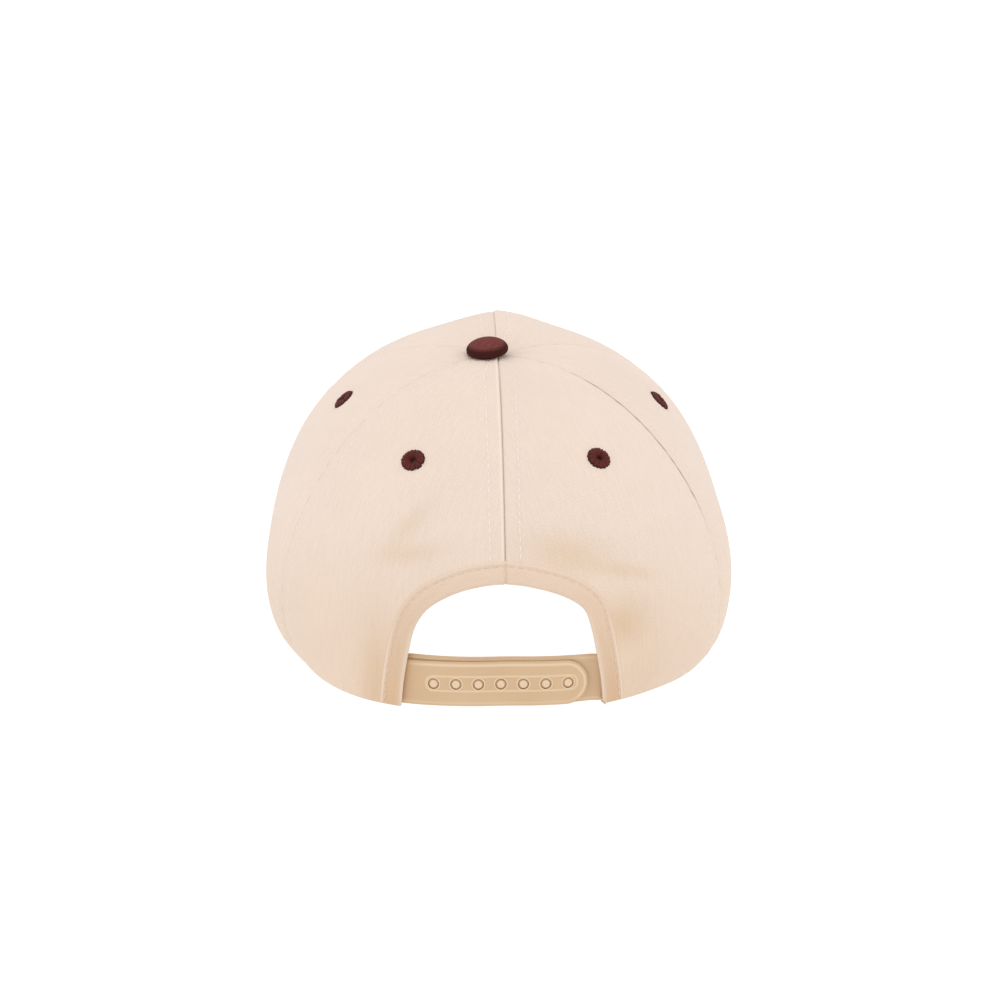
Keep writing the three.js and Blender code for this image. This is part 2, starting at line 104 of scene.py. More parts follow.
def apply_modifier(piece, kind, **settings):
    select_only(piece)
    modifier = piece.modifiers.new(kind.title(), kind)
    for key, value in settings.items():
        setattr(modifier, key, value)
    bpy.ops.object.modifier_apply(modifier=modifier.name)


def smooth(piece):
    select_only(piece)
    bpy.ops.object.shade_smooth_by_angle(angle=SHARP_ANGLE)


def join(name, *pieces):
    select_only(*pieces)
    bpy.ops.object.join()
    return newest(name)


def table(columns, *rows):
    """Rows whose values have the names of the columns."""
    return [dict(zip(columns.split(), row)) for row in rows]


print("crown axis stands at y =", round(AXIS_FORWARD, 2), "mm")

# %% [markdown]
# ## The form of the crown
# A hatter steams the cloth over a wooden form. Here the form is a short table: each row is a meridian, a
# Bezier curve from the rim, past a wall and a shoulder control point, to the apex that all of them share. A
# bearing is measured from the front, turning to the right, and rise runs from 0 at the rim to 1 at the apex.

# %% Meridians
APEX_HEIGHT = 108.7
MERIDIAN_STEP = 30
MERIDIANS = table(
    "bearing reach rim wall_out wall_up shoulder_out shoulder_up",
    (0, 98, 15, 101, 83, 70, 129),
    (30, 96, 11.2, 103, 78, 74, 124),
    (60, 88, 5, 103, 60, 77, 119),
    (90, 81, 0, 106, 39, 66, 119),
    (120, 86, 0, 117, 33, 69, 116),
    (150, 99.5, 0, 110, 45, 65, 114.5),
    (180, 99.5, 0, 101, 50, 55, 114),
)


def table_value(column, bearing):
    """A column of the table at any bearing, by a Catmull-Rom curve through its rows."""
    half = np.array([row[column] for row in MERIDIANS], float)
    ring = np.concatenate([half, half[-2:0:-1]])
    place = np.mod(bearing, 360) / MERIDIAN_STEP
    row = np.floor(place).astype(int)
    f = place - row
    a, b, c, d = (ring[(row + k) % len(ring)] for k in (-1, 0, 1, 2))
    return (2 * b + (c - a) * f + (2 * a - 5 * b + 4 * c - d) * f**2 + (3 * b - 3 * c + d - a) * f**3) / 2


def bezier(t, a, b, c, d):
    s = 1 - t
    return s**3 * a + 3 * s**2 * t * b + 3 * s * t**2 * c + t**3 * d


def reach_at(bearing, rise):
    reach, wall, shoulder = (table_value(k, bearing) for k in ("reach", "wall_out", "shoulder_out"))
    return bezier(rise, reach, wall, shoulder, 0)


def height_at(bearing, rise):
    rim, wall, shoulder = (table_value(k, bearing) for k in ("rim", "wall_up", "shoulder_up"))
    return bezier(rise, np.maximum(0, rim), wall, shoulder, APEX_HEIGHT)


print("the wall reaches out", round(float(reach_at(90, 0.25)), 1), "mm at the sides, a quarter of the way up")

# %% [markdown]
# ## Ridge, dents and seam hollows
# The stiffener behind the two front panels lifts them into a low ridge over the forehead. A cap that has been
# handled also has shallow dents. A dent is a soft bell, longer than it is wide and turned by its tilt, and it
# pushes the cloth in along the form's own normal, so the wall keeps its thickness.

# %% Points on the form and on the cloth
FRONT_RIDGE = dict(height=3.6, offset=3, width=15, fade=15, start=0.14, full=0.86, fall=0.8)
DENTS = table(
    "bearing height length width tilt depth",
    (202, 60, 24, 18, 55, 1.6),
    (160, 56, 22, 20, -35, 1.8),
    (212, 24, 26, 20, 95, 1.4),
    (150, 26, 24, 16, 80, 1.4),
    (125, 7, 44, 18, 0, -2.2),
    (146, 0, 36, 14, 0, 2.4),
    (204, 0, 40, 16, 0, -1.2),
)
SEAM_STEP = 60
SEAM_DIP = dict(depth=0.7, width=9)
SLANT = 1e-3  # a small step on the form, from which its normal is worked out


def bell(distance, width):
    return np.exp(-((distance / width) ** 2))


def smooth_point(bearing, rise):
    bearing, rise = np.broadcast_arrays(np.asarray(bearing, float), np.asarray(rise, float))
    reach = reach_at(bearing, rise)
    across = reach * np.sin(np.radians(bearing))
    forward = reach * np.cos(np.radians(bearing))
    r = FRONT_RIDGE
    over_forehead = np.clip(forward / r["fade"], 0, 1)
    rising = np.clip((rise - r["start"]) / (r["full"] - r["start"]), 0, 1)
    falling = np.clip((1 - rise) / (1 - r["fall"]), 0, 1)
    ridge = r["height"] * bell(across - r["offset"], r["width"]) * over_forehead * rising * falling
    return np.stack([across, forward, height_at(bearing, rise) + ridge], -1)


def smooth_step(x, low, high):
    t = np.clip((x - low) / (high - low), 0, 1)
    return t * t * (3 - 2 * t)


def unit(vectors):
    return vectors / np.linalg.norm(vectors, axis=-1, keepdims=True)


def crown_normal(bearing, rise):
    up = smooth_point(bearing, rise + SLANT) - smooth_point(bearing, np.maximum(0, rise - SLANT))
    along = smooth_point(bearing + SLANT, rise) - smooth_point(bearing - SLANT, rise)
    return unit(np.cross(up, along))


def dent_depth(dent, bearing, reach, height):
    side = reach * np.radians(np.mod(dent["bearing"] - bearing + 180, 360) - 180)
    up = height - dent["height"]
    tilt = math.radians(dent["tilt"])
    along = (side * math.cos(tilt) + up * math.sin(tilt)) / (dent["length"] / 2)
    over = (up * math.cos(tilt) - side * math.sin(tilt)) / (dent["width"] / 2)
    return dent["depth"] * np.exp(-(along**2) - over**2)


def from_seam(bearing, rise):
    """The bearing of the nearest seam, and the distance from it along a level line, signed."""
    seam = SEAM_STEP * np.round(np.asarray(bearing) / SEAM_STEP)
    return seam, reach_at(bearing, rise) * np.radians(bearing - seam)


def soft_relief(bearing, rise):
    """How far the cloth lies outside the smooth form, as the solid model has it."""
    _, distance = from_seam(bearing, rise)
    reach, height = reach_at(bearing, rise), height_at(bearing, rise)
    relief = -SEAM_DIP["depth"] * bell(distance, SEAM_DIP["width"])
    for dent in DENTS:
        relief = relief - dent_depth(dent, bearing, reach, height)
    return relief


def cloth_point(bearing, rise, depth=0.0, relief=soft_relief):
    """A point at a depth below the crown's outer face."""
    out = relief(bearing, rise) - depth
    return smooth_point(bearing, rise) + crown_normal(bearing, rise) * out[..., None]


print(len(DENTS), "dents, up to", max(dent["depth"] for dent in DENTS), "mm deep")

# %% [markdown]
# ## Does the form fit the frame?
# A form is only useful if it is the same as the solid it will dress. Every corner of a solid panel should lie
# on the outer face of the form or one wall's thickness inside it, so the farthest corner is measured.

# %% Measure the form against a solid panel
CLOTH = 1.8  # wall of a panel: twill with its backing
HALVINGS = 30
HIGHEST = 0.7  # no band, strap or measured corner reaches this rise
MEASURED = (5, 70)  # heights between which the panel's corners are measured, clear of rim and eyelet


def halve(test, low, high, shape):
    """The value between low and high where test turns from true to false."""
    low, high = np.full(shape, float(low)), np.full(shape, float(high))
    for _ in range(HALVINGS):
        middle = (low + high) / 2
        inside = test(middle)
        low, high = np.where(inside, middle, low), np.where(inside, high, middle)
    return (low + high) / 2


def wall_point(bearing, height, depth):
    """A point at a given height and depth on the wall, for the band and the straps."""
    bearing, height, depth = np.broadcast_arrays(*(np.asarray(x, float) for x in (bearing, height, depth)))
    lower = lambda rise: cloth_point(bearing, rise, depth)[..., 2] < height
    points = cloth_point(bearing, halve(lower, 0, HIGHEST, bearing.shape), depth)
    points[..., 2] = height
    return points


def form_error(node):
    corners = points_of(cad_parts[node]) / MM - [0, AXIS_FORWARD, 0]
    bearing = np.degrees(np.arctan2(corners[:, 0], corners[:, 1]))
    reach = np.hypot(corners[:, 0], corners[:, 1])
    errors = []
    for depth in (0.0, CLOTH):
        surface = wall_point(bearing, corners[:, 2], depth)
        errors.append(np.abs(np.hypot(surface[:, 0], surface[:, 1]) - reach))
    wall = (corners[:, 2] > MEASURED[0]) & (corners[:, 2] < MEASURED[1])
    return np.min(errors, axis=0)[wall].max()


for node in ("side_panel_right", "side_panel_left"):
    print(node, "lies within", round(float(form_error(node)), 3), "mm of the form")

# %% [markdown]
# ## Fine relief of sewn cloth
# Along a seam both panels turn under, so the cloth is a little higher there, drops into a narrow groove at
# the seam itself, and is pulled down by a row of topstitching on each side. It also puckers. All of that is
# a fraction of a millimetre, and yet it is what makes a seam read as sewn in raking light.

# %% Seam, topstitching, pucker and eyelet pull
STITCH_ROW = 5.5  # distance of the topstitching from its seam
STITCH_PITCH = 3.2
SEAM_BAND = 11  # where a panel is narrower than twice this, its rows squeeze together towards the tip
SEAMS = table(  # depths and heights, then how wide and dark its painted shade line is, from what height to what
    "bearing groove lift fold row dimple wide dark low high",
    (0, 0.22, 0.2, 0, 0.12, 0.08, 0.3, 0.1, 0, 108),
    (60, 0.22, 0.15, 0, 0.08, 0.05, 0.3, 0.05, 0, 100),
    (120, 0.12, 0.1, 0.1, 0.05, 0.03, 0.5, 0.78, 66, 102),
    (180, 0.5, 0.3, 0.25, 0.14, 0.16, 0.3, 0.4, 0, 104),
    (240, 0.12, 0.08, 0, 0.04, 0.03, 0.3, 0, 0, 100),
    (300, 0.22, 0.15, 0, 0.08, 0.05, 0.3, 0.05, 0, 100),
)
LINE_FADE = dict(low=14, high=5)  # how far below and above those heights the painted shade line fades away
LIFT_EDGE = dict(past_row=0.7, steepness=2.2)  # where the turned-under cloth ends
FOLD = dict(place=1.1, width=0.6)
GROOVE = dict(width=0.42, soft_width=1.2, soft_depth=0.2)
ROW_WIDTH, DIMPLE_WIDTH = 0.6, 0.8
PUCKER = dict(depth=0.05, place=0.6 * STITCH_ROW, width=4.5, shift=1.9)
FRONT_LAP = dict(height=0.45, width=3)  # one front panel is sewn over the other
EYELET_PULL = dict(depth=0.35, width=5.5)
EYELETS = table(
    "name bearing rise",
    ("eyelet_front_right", 30, 0.575),
    ("eyelet_side_right", 85.5, 0.615),
    ("eyelet_back_right", 149, 0.58),
    ("eyelet_back_left", 208.9, 0.58),
    ("eyelet_side_left", 270, 0.645),
    ("eyelet_front_left", 330, 0.575),
)
RUN_RISES = np.linspace(0, 1, 400)


def run_of(path):
    """Distance along a path of points, at each of them."""
    return np.concatenate([[0], np.cumsum(np.linalg.norm(np.diff(path, axis=0), axis=1))])


def run_along(bearing):
    """Distance up the form from the rim, at each of RUN_RISES."""
    return run_of(smooth_point(bearing, RUN_RISES))


SEAM_RUNS = {seam["bearing"]: run_along(seam["bearing"]) for seam in SEAMS}
PUCKERS = [dict(pitch=pitch, phase=rng.uniform(0, 6.28, 6)) for pitch in (5.1, 7.3, 11.7)]
print("topstitching runs", round(float(SEAM_RUNS[180][-1])), "mm up the back seam")

# %% [markdown]
# ## All of it in one height
# Each of these is a bell, a wave or a soft step across the seam, and their sum is how far the cloth lies off
# the smooth form at any place. Where the panels taper to the button there is less room, so the whole pattern
# is squeezed with them.

# %% Add up the relief
def squeeze_at(bearing, rise):
    half_width = reach_at(bearing, rise) * math.radians(SEAM_STEP / 2)
    return np.minimum(1, half_width / SEAM_BAND)


def sewn_relief(bearing, rise):
    """How far the cloth lies outside the smooth form, with all that sewing does to it."""
    bearing, rise = np.broadcast_arrays(np.asarray(bearing, float), np.asarray(rise, float))
    nearest, distance = from_seam(bearing, rise)
    away = np.abs(distance) / squeeze_at(bearing, rise)
    run, pucker = np.zeros_like(away), np.zeros_like(away)
    depth = {key: np.zeros_like(away) for key in ("groove", "lift", "fold", "row", "dimple")}
    for number, seam in enumerate(SEAMS):
        here = np.mod(nearest, 360) == seam["bearing"]
        run[here] = np.interp(rise[here], RUN_RISES, SEAM_RUNS[seam["bearing"]])
        side = np.where(distance[here] > 0, PUCKER["shift"], 0)
        for key, values in depth.items():
            values[here] = seam[key]
        for wave in PUCKERS:
            pucker[here] += np.sin(2 * math.pi * run[here] / wave["pitch"] + wave["phase"][number] + side)
    past_edge = away - STITCH_ROW - LIFT_EDGE["past_row"]
    lifted = depth["lift"] / (1 + np.exp(LIFT_EDGE["steepness"] * past_edge))
    lifted = lifted + depth["fold"] * bell(distance - FOLD["place"], FOLD["width"])
    groove = depth["groove"] * bell(away, GROOVE["width"])
    groove = groove + GROOVE["soft_depth"] * bell(away, GROOVE["soft_width"])
    row = depth["row"] * bell(away - STITCH_ROW, ROW_WIDTH)
    stitched = 0.5 + 0.5 * np.cos(2 * math.pi * run / STITCH_PITCH)
    dimple = depth["dimple"] * bell(away - STITCH_ROW, DIMPLE_WIDTH) * stitched
    puckered = PUCKER["depth"] * pucker * bell(away - PUCKER["place"], PUCKER["width"])
    over = (np.mod(nearest, 360) == 0) & (distance > 0)
    lap = np.where(over, FRONT_LAP["height"] * bell(away, FRONT_LAP["width"]), 0)
    relief = soft_relief(bearing, rise) + lifted - groove - row - dimple + puckered + lap
    points = smooth_point(bearing, rise)
    for eyelet in EYELETS:
        radius = np.linalg.norm(points - smooth_point(eyelet["bearing"], eyelet["rise"]), axis=-1)
        relief = relief - EYELET_PULL["depth"] * bell(radius, EYELET_PULL["width"])
    return relief


print("the cloth lies", round(float(sewn_relief(180, 0.5)), 2), "mm off the form half way up its back seam")

# %% [markdown]
# ## Shade and light painted into the cloth
# Soft light fills a shallow fold and leaves almost no shade, so the shade of each fold is painted into the
# colour of the cloth. The same is done in the line where two cloths meet, and the folded edge beside the back
# seam gets a painted highlight. Each is worked out as a number from 0 to 1, which the finish of the cloth
# will read.

# %% Painted shade in folds and seam lines, painted highlight on an edge
FOLD_SHADE_SPOTS = table(  # painted shade in folds, each spot laid like a dent, its depth how dark
    "bearing height length width tilt depth",
    (204.5, 64, 18, 7, 50, 0.45),
    (203.3, 54.5, 26, 7, 8, 0.5),
    (208, 6, 46, 14, 90, 0.9),
    (164.7, 54, 32, 14, -10, 0.7),
    (151.3, 47, 22, 5, -15, 0.5),
    (154.5, 29.5, 22, 18, 0, 0.9),
    (150, 9, 36, 24, 90, 0.3),
)
# the folded edge beside the back seam gets a painted highlight
LIT_EDGE = dict(seam=180, light=0.8, place=0.8, width=0.4)


# Painted shade in the folds, from 0 to 1
def crease_shade(bearing, rise):
    reach, height = reach_at(bearing, rise), height_at(bearing, rise)
    return sum(dent_depth(crease, bearing, reach, height) for crease in FOLD_SHADE_SPOTS)


def seam_shade(bearing, rise):
    """How dark the painted shade line between two cloths is."""
    nearest, distance = from_seam(bearing, rise)
    height = height_at(bearing, rise)
    shade = np.zeros_like(distance)
    for seam in SEAMS:
        here = np.mod(nearest, 360) == seam["bearing"]
        shown = np.clip(1 + (height - seam["low"]) / LINE_FADE["low"], 0, 1)
        shown = shown * np.clip(1 - (height - seam["high"]) / LINE_FADE["high"], 0, 1)
        line = seam["dark"] * shown * np.clip(1.2 - np.abs(distance) / seam["wide"], 0, 1)
        shade[here] = line[here]
    return shade


def fold_light(bearing, rise):
    """How much painted highlight the folded edge of the left back panel gets, beside the back seam."""
    nearest, distance = from_seam(bearing, rise)
    lit = LIT_EDGE["light"] * bell(distance - LIT_EDGE["place"], LIT_EDGE["width"])
    return np.where(np.mod(nearest, 360) == LIT_EDGE["seam"], lit, 0)


print(len(FOLD_SHADE_SPOTS), "folds hold a shadow")

# %% [markdown]
# ## Cloth panels
# A panel is cut flat and steamed to shape, so a flat grid is added and each of its points is laid on the
# form. Its columns keep the same distance from the seam all the way up, which keeps the stitched rows crisp.
# The grid's own UV map is set in metres, so that the weave has one scale on every piece.

# %% Lay a grid on a shape
EDGE_COLUMNS = [0, 0.12, 0.3, 0.55, 0.95, 1.6, 2.6, 3.7, 4.5, 5.0, 5.5, 6.0, 6.6, 7.6, 9.2]
PANEL_COLUMNS = 66
PANEL_ROWS = 150
TIP_REACH = 1.7  # the cloth runs in to the shank of the button
PANEL_GAP = 0.02
TAPE = dict(reach=8.4, thickness=0.45)  # the tape that lies over each seam inside


def set_uv(piece, uv_metres):
    layer = piece.data.uv_layers.active or piece.data.uv_layers.new(name="UVMap")
    corners = read(piece.data.loops, "vertex_index", kind=np.int32)
    layer.data.foreach_set("uv", uv_metres[corners].astype(np.float32).ravel())


def note(piece, name, values):
    """Keeps a value from 0 to 1 for each point, for the piece's finish to read."""
    layer = piece.data.attributes.new(name, "FLOAT", "POINT")
    layer.data.foreach_set("value", np.clip(values, 0, 1).astype(np.float32))


def laid_grid(name, columns, rows, lay):
    """Adds a grid and lays it by lay(column, row), which gives places, lengths for the UV map and notes."""
    deselect_all()
    bpy.ops.mesh.primitive_grid_add(x_subdivisions=columns, y_subdivisions=rows, size=1)
    piece = newest(name)
    spots = points_of(piece)[:, :2] + 0.5
    column, row = np.rint(spots * [columns, rows]).astype(int).T
    places, uv, notes = lay(column, row)
    set_points(piece, to_frame(places))
    set_uv(piece, uv * MM)
    for key, values in notes.items():
        note(piece, key, values)
    return piece


def turn_out(piece, outward):
    """Turns the faces round if on the whole they look against outward."""
    if np.mean(read(piece.data.polygons, "normal", 3) @ np.array(outward)) < 0:
        piece.data.flip_normals()


print("a grid can be laid on any shape")

# %% [markdown]
# ## The grid of one panel
# The grid runs from rim to tip, and stops where the panel is as narrow as the shank of the button. Beside its
# outer face it keeps the place of its lining, which is smooth apart from the tape over the seams, so that the
# inner wall can be laid there once the panel has a thickness.

# %% Lay a panel
def panel_columns(half_width, squeeze):
    """Distances from the first seam to each column, for each row."""
    edge = np.array(EDGE_COLUMNS)[None, :] * squeeze[:, None]
    middle_count = PANEL_COLUMNS + 1 - 2 * len(EDGE_COLUMNS)
    inner = np.linspace(0, 1, middle_count + 2)[1:-1][None, :]
    width = 2 * half_width[:, None]
    middle = edge[:, -1:] + inner * (width - 2 * edge[:, -1:])
    return np.concatenate([edge, middle, (width - edge)[:, ::-1]], axis=1)


def panel_grid(name, first_seam):
    centre = first_seam + SEAM_STEP / 2
    narrowing = lambda rise: reach_at(centre, rise) > TIP_REACH
    tip = float(halve(narrowing, 0.5, 1, ()))
    rises = np.linspace(0, tip, PANEL_ROWS + 1)
    reach = reach_at(centre, rises)
    half_width = reach * math.radians(SEAM_STEP / 2) - PANEL_GAP
    columns = panel_columns(half_width, squeeze_at(centre, rises))
    run = np.interp(rises, RUN_RISES, run_along(centre))

    def lay(column, row):
        along = columns[row, column]
        bearing = first_seam + np.degrees((along + PANEL_GAP) / reach[row])
        places = cloth_point(bearing, rises[row], 0.0, sewn_relief)
        away = np.abs(from_seam(bearing, rises[row])[1]) / squeeze_at(bearing, rises[row])
        taped = TAPE["thickness"] * (1 - smooth_step(away, TAPE["reach"] - 1, TAPE["reach"]))
        lining = cloth_point(bearing, rises[row], CLOTH + taped)
        for wall in (places, lining):
            wall[row == 0, 2] = height_at(bearing[row == 0], 0)
        spots.append(to_frame(lining))
        # painted shade in folds and seam lines, and a painted highlight on the folded edge
        shades = dict(hollow=crease_shade, crease=seam_shade, raised=fold_light)
        notes = {key: shade(bearing, rises[row]) for key, shade in shades.items()}
        across = along - half_width[row] + 2 * first_seam  # each panel is cut from its own stretch of cloth
        return places, np.stack([across, run[row]], -1), notes

    spots = []
    piece = laid_grid(name, PANEL_COLUMNS, PANEL_ROWS, lay)
    layer = piece.data.attributes.new("lining", "FLOAT_VECTOR", "POINT")
    layer.data.foreach_set("vector", spots[0].astype(np.float32).ravel())
    bearing = math.radians(centre)
    turn_out(piece, (math.sin(bearing), math.cos(bearing), 0.3))
    return piece


print("a panel is laid from", PANEL_COLUMNS * PANEL_ROWS, "faces")

# %% [markdown]
# ## The outline of the arch
# The arch at the back is an opening in both back panels. Its outline is a smooth curve through a short table
# of how far it reaches to the left and right of the seam at each height. The cloth is cut a little wider than
# the outline, face by face, because a hem will be folded over the raw edge later.

# %% Curve through the table
ARCH = table(
    "height left right",
    (0, 38.2, 35.4),
    (10, 37.2, 34.4),
    (20, 35.5, 32.8),
    (29, 33.2, 30.9),
    (35.5, 28.8, 28.2),
    (40, 21.6, 21),
    (43, 12.4, 10.6),
    (44.3, 0.6, -0.6),
)
RAW_EDGE = 2.2  # how far inside the hem the cloth is cut


def spline_through(rows, count):
    """Points at even distances on a Catmull-Rom curve through some rows."""
    rows = np.asarray(rows, float)
    padded = np.concatenate([rows[:1], rows, rows[-1:]])
    steps = np.linspace(0, 1, 40, endpoint=False)[:, None]
    fine = []
    for a, b, c, d in zip(padded, padded[1:], padded[2:], padded[3:]):
        square, cube = 2 * a - 5 * b + 4 * c - d, 3 * b - 3 * c + d - a
        fine.append((2 * b + (c - a) * steps + square * steps**2 + cube * steps**3) / 2)
    return resampled(np.concatenate(fine + [rows[-1:]]), count)


def resampled(path, count):
    """The same path with points at even distances."""
    run = run_of(path)
    even = np.linspace(0, run[-1], count)
    return np.stack([np.interp(even, run, path[:, k]) for k in range(path.shape[1])], -1)


def outward_of(path):
    """Unit vectors square to a flat path, on its left as it is followed."""
    along = np.gradient(path, axis=0)
    return unit(np.stack([-along[:, 1], along[:, 0]], -1))


def arch_outline(count, away=0.0):
    left = [(-row["left"], row["height"]) for row in ARCH]
    right = [(row["right"], row["height"]) for row in ARCH[-2::-1]]
    path = spline_through(left + right, count)
    return path + away * outward_of(path)


wide = arch_outline(200, RAW_EDGE)
wide[[0, -1], 1] = -1  # the cut runs on a little below the rim
top = int(wide[:, 1].argmax())
left_edge, right_edge = wide[:top], wide[:top:-1]


def in_arch(centres):
    """True for places that lie in the arch, seen from behind."""
    low = np.interp(centres[:, 2], left_edge[:, 1], left_edge[:, 0], right=0)
    high = np.interp(centres[:, 2], right_edge[:, 1], right_edge[:, 0], right=0)
    return (centres[:, 1] < 0) & (low < centres[:, 0]) & (centres[:, 0] < high)


print("arch", round(float(wide[:, 1].max() - RAW_EDGE), 1), "mm high")

# %% [markdown]
# ## Eyelet holes, wall and rolled rim
# Each panel is pierced where its eyelet goes, and the back ones are opened for the arch: faces are selected
# by their place and deleted, and thread or hem will hide the raw edge. Solidify then gives the wall, whose
# inner face is laid smooth, and Bevel rolls its edges.

# %% Pierce and thicken a panel
PIERCE_RADIUS = 2.3
RIM_ROLL = 0.5
ROLLED = dict(segments=2, limit_method="ANGLE", angle_limit=math.radians(60))  # only sharp edges roll


def delete_faces(piece, test):
    """Deletes the faces whose centres pass a test on places round the crown's axis."""
    select_only(piece)
    bpy.ops.object.mode_set(mode="EDIT")
    bpy.ops.mesh.select_mode(type="FACE")
    bpy.ops.mesh.select_all(action="DESELECT")
    bpy.ops.object.mode_set(mode="OBJECT")
    centres = read(piece.data.polygons, "center", 3) / MM - [0, AXIS_FORWARD, 0]
    piece.data.polygons.foreach_set("select", test(centres))
    bpy.ops.object.mode_set(mode="EDIT")
    bpy.ops.mesh.delete(type="FACE")
    bpy.ops.object.mode_set(mode="OBJECT")


def eyelet_place(eyelet):
    bearing, rise = np.array(eyelet["bearing"]), np.array(eyelet["rise"])
    return cloth_point(bearing, rise, 0.0, sewn_relief), crown_normal(bearing, rise)


def smooth_lining(piece):
    """Lays the inner wall of a panel on the smooth form, where tape covers the seams."""
    places, layers = points_of(piece), piece.data.attributes
    lining = read(layers["lining"].data, "vector", 3)
    middle = len(places) // 2
    halves = (slice(0, middle), slice(middle, len(places)))
    inner = min(halves, key=lambda half: np.abs(places[half] - lining[half]).sum())
    places[inner] = lining[inner]
    set_points(piece, places)
    layers.remove(layers["lining"])
    # the inner wall gets none of the painted shade or highlight
    for name in ("crease", "raised"):
        values = read(layers[name].data, "value")
        values[inner] = 0
        layers[name].data.foreach_set("value", values)


def thicken(piece, thickness, roll):
    """Gives a sheet its thickness, towards the inside, and rolls its edges unless roll is 0."""
    apply_modifier(piece, "SOLIDIFY", thickness=thickness * MM, offset=-1, use_even_offset=True)
    if "lining" in piece.data.attributes:
        smooth_lining(piece)
    if roll:
        apply_modifier(piece, "BEVEL", width=roll * MM, **ROLLED)


PANELS = ("front_panel_right", "side_panel_right", "back_panel_right")  # round the cap, as the seams go
PANELS += ("back_panel_left", "side_panel_left", "front_panel_left")
panels = {}
for name, seam in zip(PANELS, SEAMS):
    first_seam = seam["bearing"]
    panels[name] = panel_grid(name + "_cloth", first_seam)
    eyelet = next(e for e in EYELETS if first_seam < e["bearing"] < first_seam + SEAM_STEP)
    hole = eyelet_place(eyelet)[0]
    delete_faces(panels[name], lambda spots: np.linalg.norm(spots - hole, axis=1) < PIERCE_RADIUS)
    if name.startswith("back"):
        delete_faces(panels[name], in_arch)
    thicken(panels[name], CLOTH, RIM_ROLL)
    print(name, len(panels[name].data.polygons), "faces")

# %% [markdown]
# ## The hem of the arch
# The raw edge is turned over a narrow strip, so both faces show a hem with a rolled edge, a shallow stitched
# channel and a fine bead where the strip ends. Its section is a short table, and a grid is laid along the
# arch and round that section.

# %% Lay the hem
HEM_SECTION = table(  # away from the opening, depth below the outer face of the cloth, and painted highlight on its folds
    "away depth light",
    (7.9, 0.1),
    (7.8, -0.3, 0.6),
    (7.5, -0.5, 1),
    (7.1, -0.52, 0.8),
    (6.7, -0.36, 0.2),
    (6.3, -0.22),
    (5.9, -0.32),
    (5.4, -0.5),
    (4.3, -0.6),
    (2.9, -0.66),
    (1.7, -0.62, 0.2),
    (0.8, -0.42, 0.8),
    (0.2, 0.05, 1),
    (0, 0.7, 0.5),
    (0.1, 1.4),
    (0.6, 1.95),
    (1.4, 2.15),
    (3.5, 2.2),
    (6.9, 2.2),
    (7.2, 1.9),
    (7.1, 1.2),
    (4.5, 0.9),
    (5.5, 0.6),
)
HEM_COLUMNS = 300
WELD = 4e-6
BACK_RADIUS = 99.5  # for a first guess of where a place seen from behind lies on the form
NEWTON_STEPS, NEWTON_PACE = 8, 0.8  # how often the guess is mended, and by what share of its miss
SMALL_TURN, SMALL_RISE = 0.02, 2e-4
HEM_LIGHT = dict(most=0.55, lost=0.8, low=15, high=42)  # its folds get less painted highlight near its top


def back_point(across, height, depth):
    """The point at a depth below the outer face that is seen at a place across and up from behind."""
    across, height, depth = np.broadcast_arrays(*(np.asarray(x, float) for x in (across, height, depth)))
    bearing = 180 - np.degrees(np.arcsin(across / BACK_RADIUS))
    rise = height / run_along(180)[-1]
    for _ in range(NEWTON_STEPS):
        here = cloth_point(bearing, rise, depth, sewn_relief)
        by_bearing = (cloth_point(bearing + SMALL_TURN, rise, depth, sewn_relief) - here) / SMALL_TURN
        by_rise = (cloth_point(bearing, rise + SMALL_RISE, depth, sewn_relief) - here) / SMALL_RISE
        miss = np.stack([across, height], -1) - here[..., [0, 2]]
        a, b, c, d = by_bearing[..., 0], by_rise[..., 0], by_bearing[..., 2], by_rise[..., 2]
        scale = NEWTON_PACE / (a * d - b * c)
        bearing = bearing + (d * miss[..., 0] - b * miss[..., 1]) * scale
        rise = rise + (a * miss[..., 1] - c * miss[..., 0]) * scale
    return cloth_point(bearing, rise, depth, sewn_relief)


hem_path = arch_outline(HEM_COLUMNS + 1)
hem_out = outward_of(hem_path)
section = np.array([[row["away"], row["depth"]] for row in HEM_SECTION])
hem_light = np.array([row.get("light", 0) for row in HEM_SECTION])
section_run = run_of(np.concatenate([section, section[:1]]))
hem_length = run_of(hem_path)[-1]


def lay_hem(column, row):
    away, depth = section[row % len(section)].T
    spot = hem_path[column] + hem_out[column] * away[:, None]
    places = back_point(spot[:, 0], np.maximum(spot[:, 1], 0), depth)
    uv = np.stack([section_run[row], column * hem_length / HEM_COLUMNS], -1)
    # The hem's folds get a painted highlight, less near the top of the arch
    low = 1 - HEM_LIGHT["lost"] * smooth_step(places[:, 2], HEM_LIGHT["low"], HEM_LIGHT["high"])
    return places, uv, dict(raised=HEM_LIGHT["most"] * hem_light[row % len(section)] * low)


print("hem", round(hem_length), "mm long")

# %% [markdown]
# ## Closing a tube
# The last row of the hem's grid comes back to the first. Merging the doubles makes the grid a tube, and
# filling the holes closes its two ends. Its faces are then turned to look outwards. The peak is closed in the
# same way.

# %% Close the hem
def in_edit_mode(piece, *steps):
    """Runs some edit mode steps on all of one piece."""
    select_only(piece)
    bpy.ops.object.mode_set(mode="EDIT")
    bpy.ops.mesh.select_mode(type="VERT")
    bpy.ops.mesh.select_all(action="SELECT")
    for step in steps:
        step()
    bpy.ops.object.mode_set(mode="OBJECT")


def weld():
    bpy.ops.mesh.remove_doubles(threshold=WELD)


def fill_ends():
    bpy.ops.mesh.select_all(action="DESELECT")
    bpy.ops.mesh.select_non_manifold()
    bpy.ops.mesh.fill_holes(sides=0)


def face_out():
    bpy.ops.mesh.select_all(action="SELECT")
    bpy.ops.mesh.normals_make_consistent(inside=False)


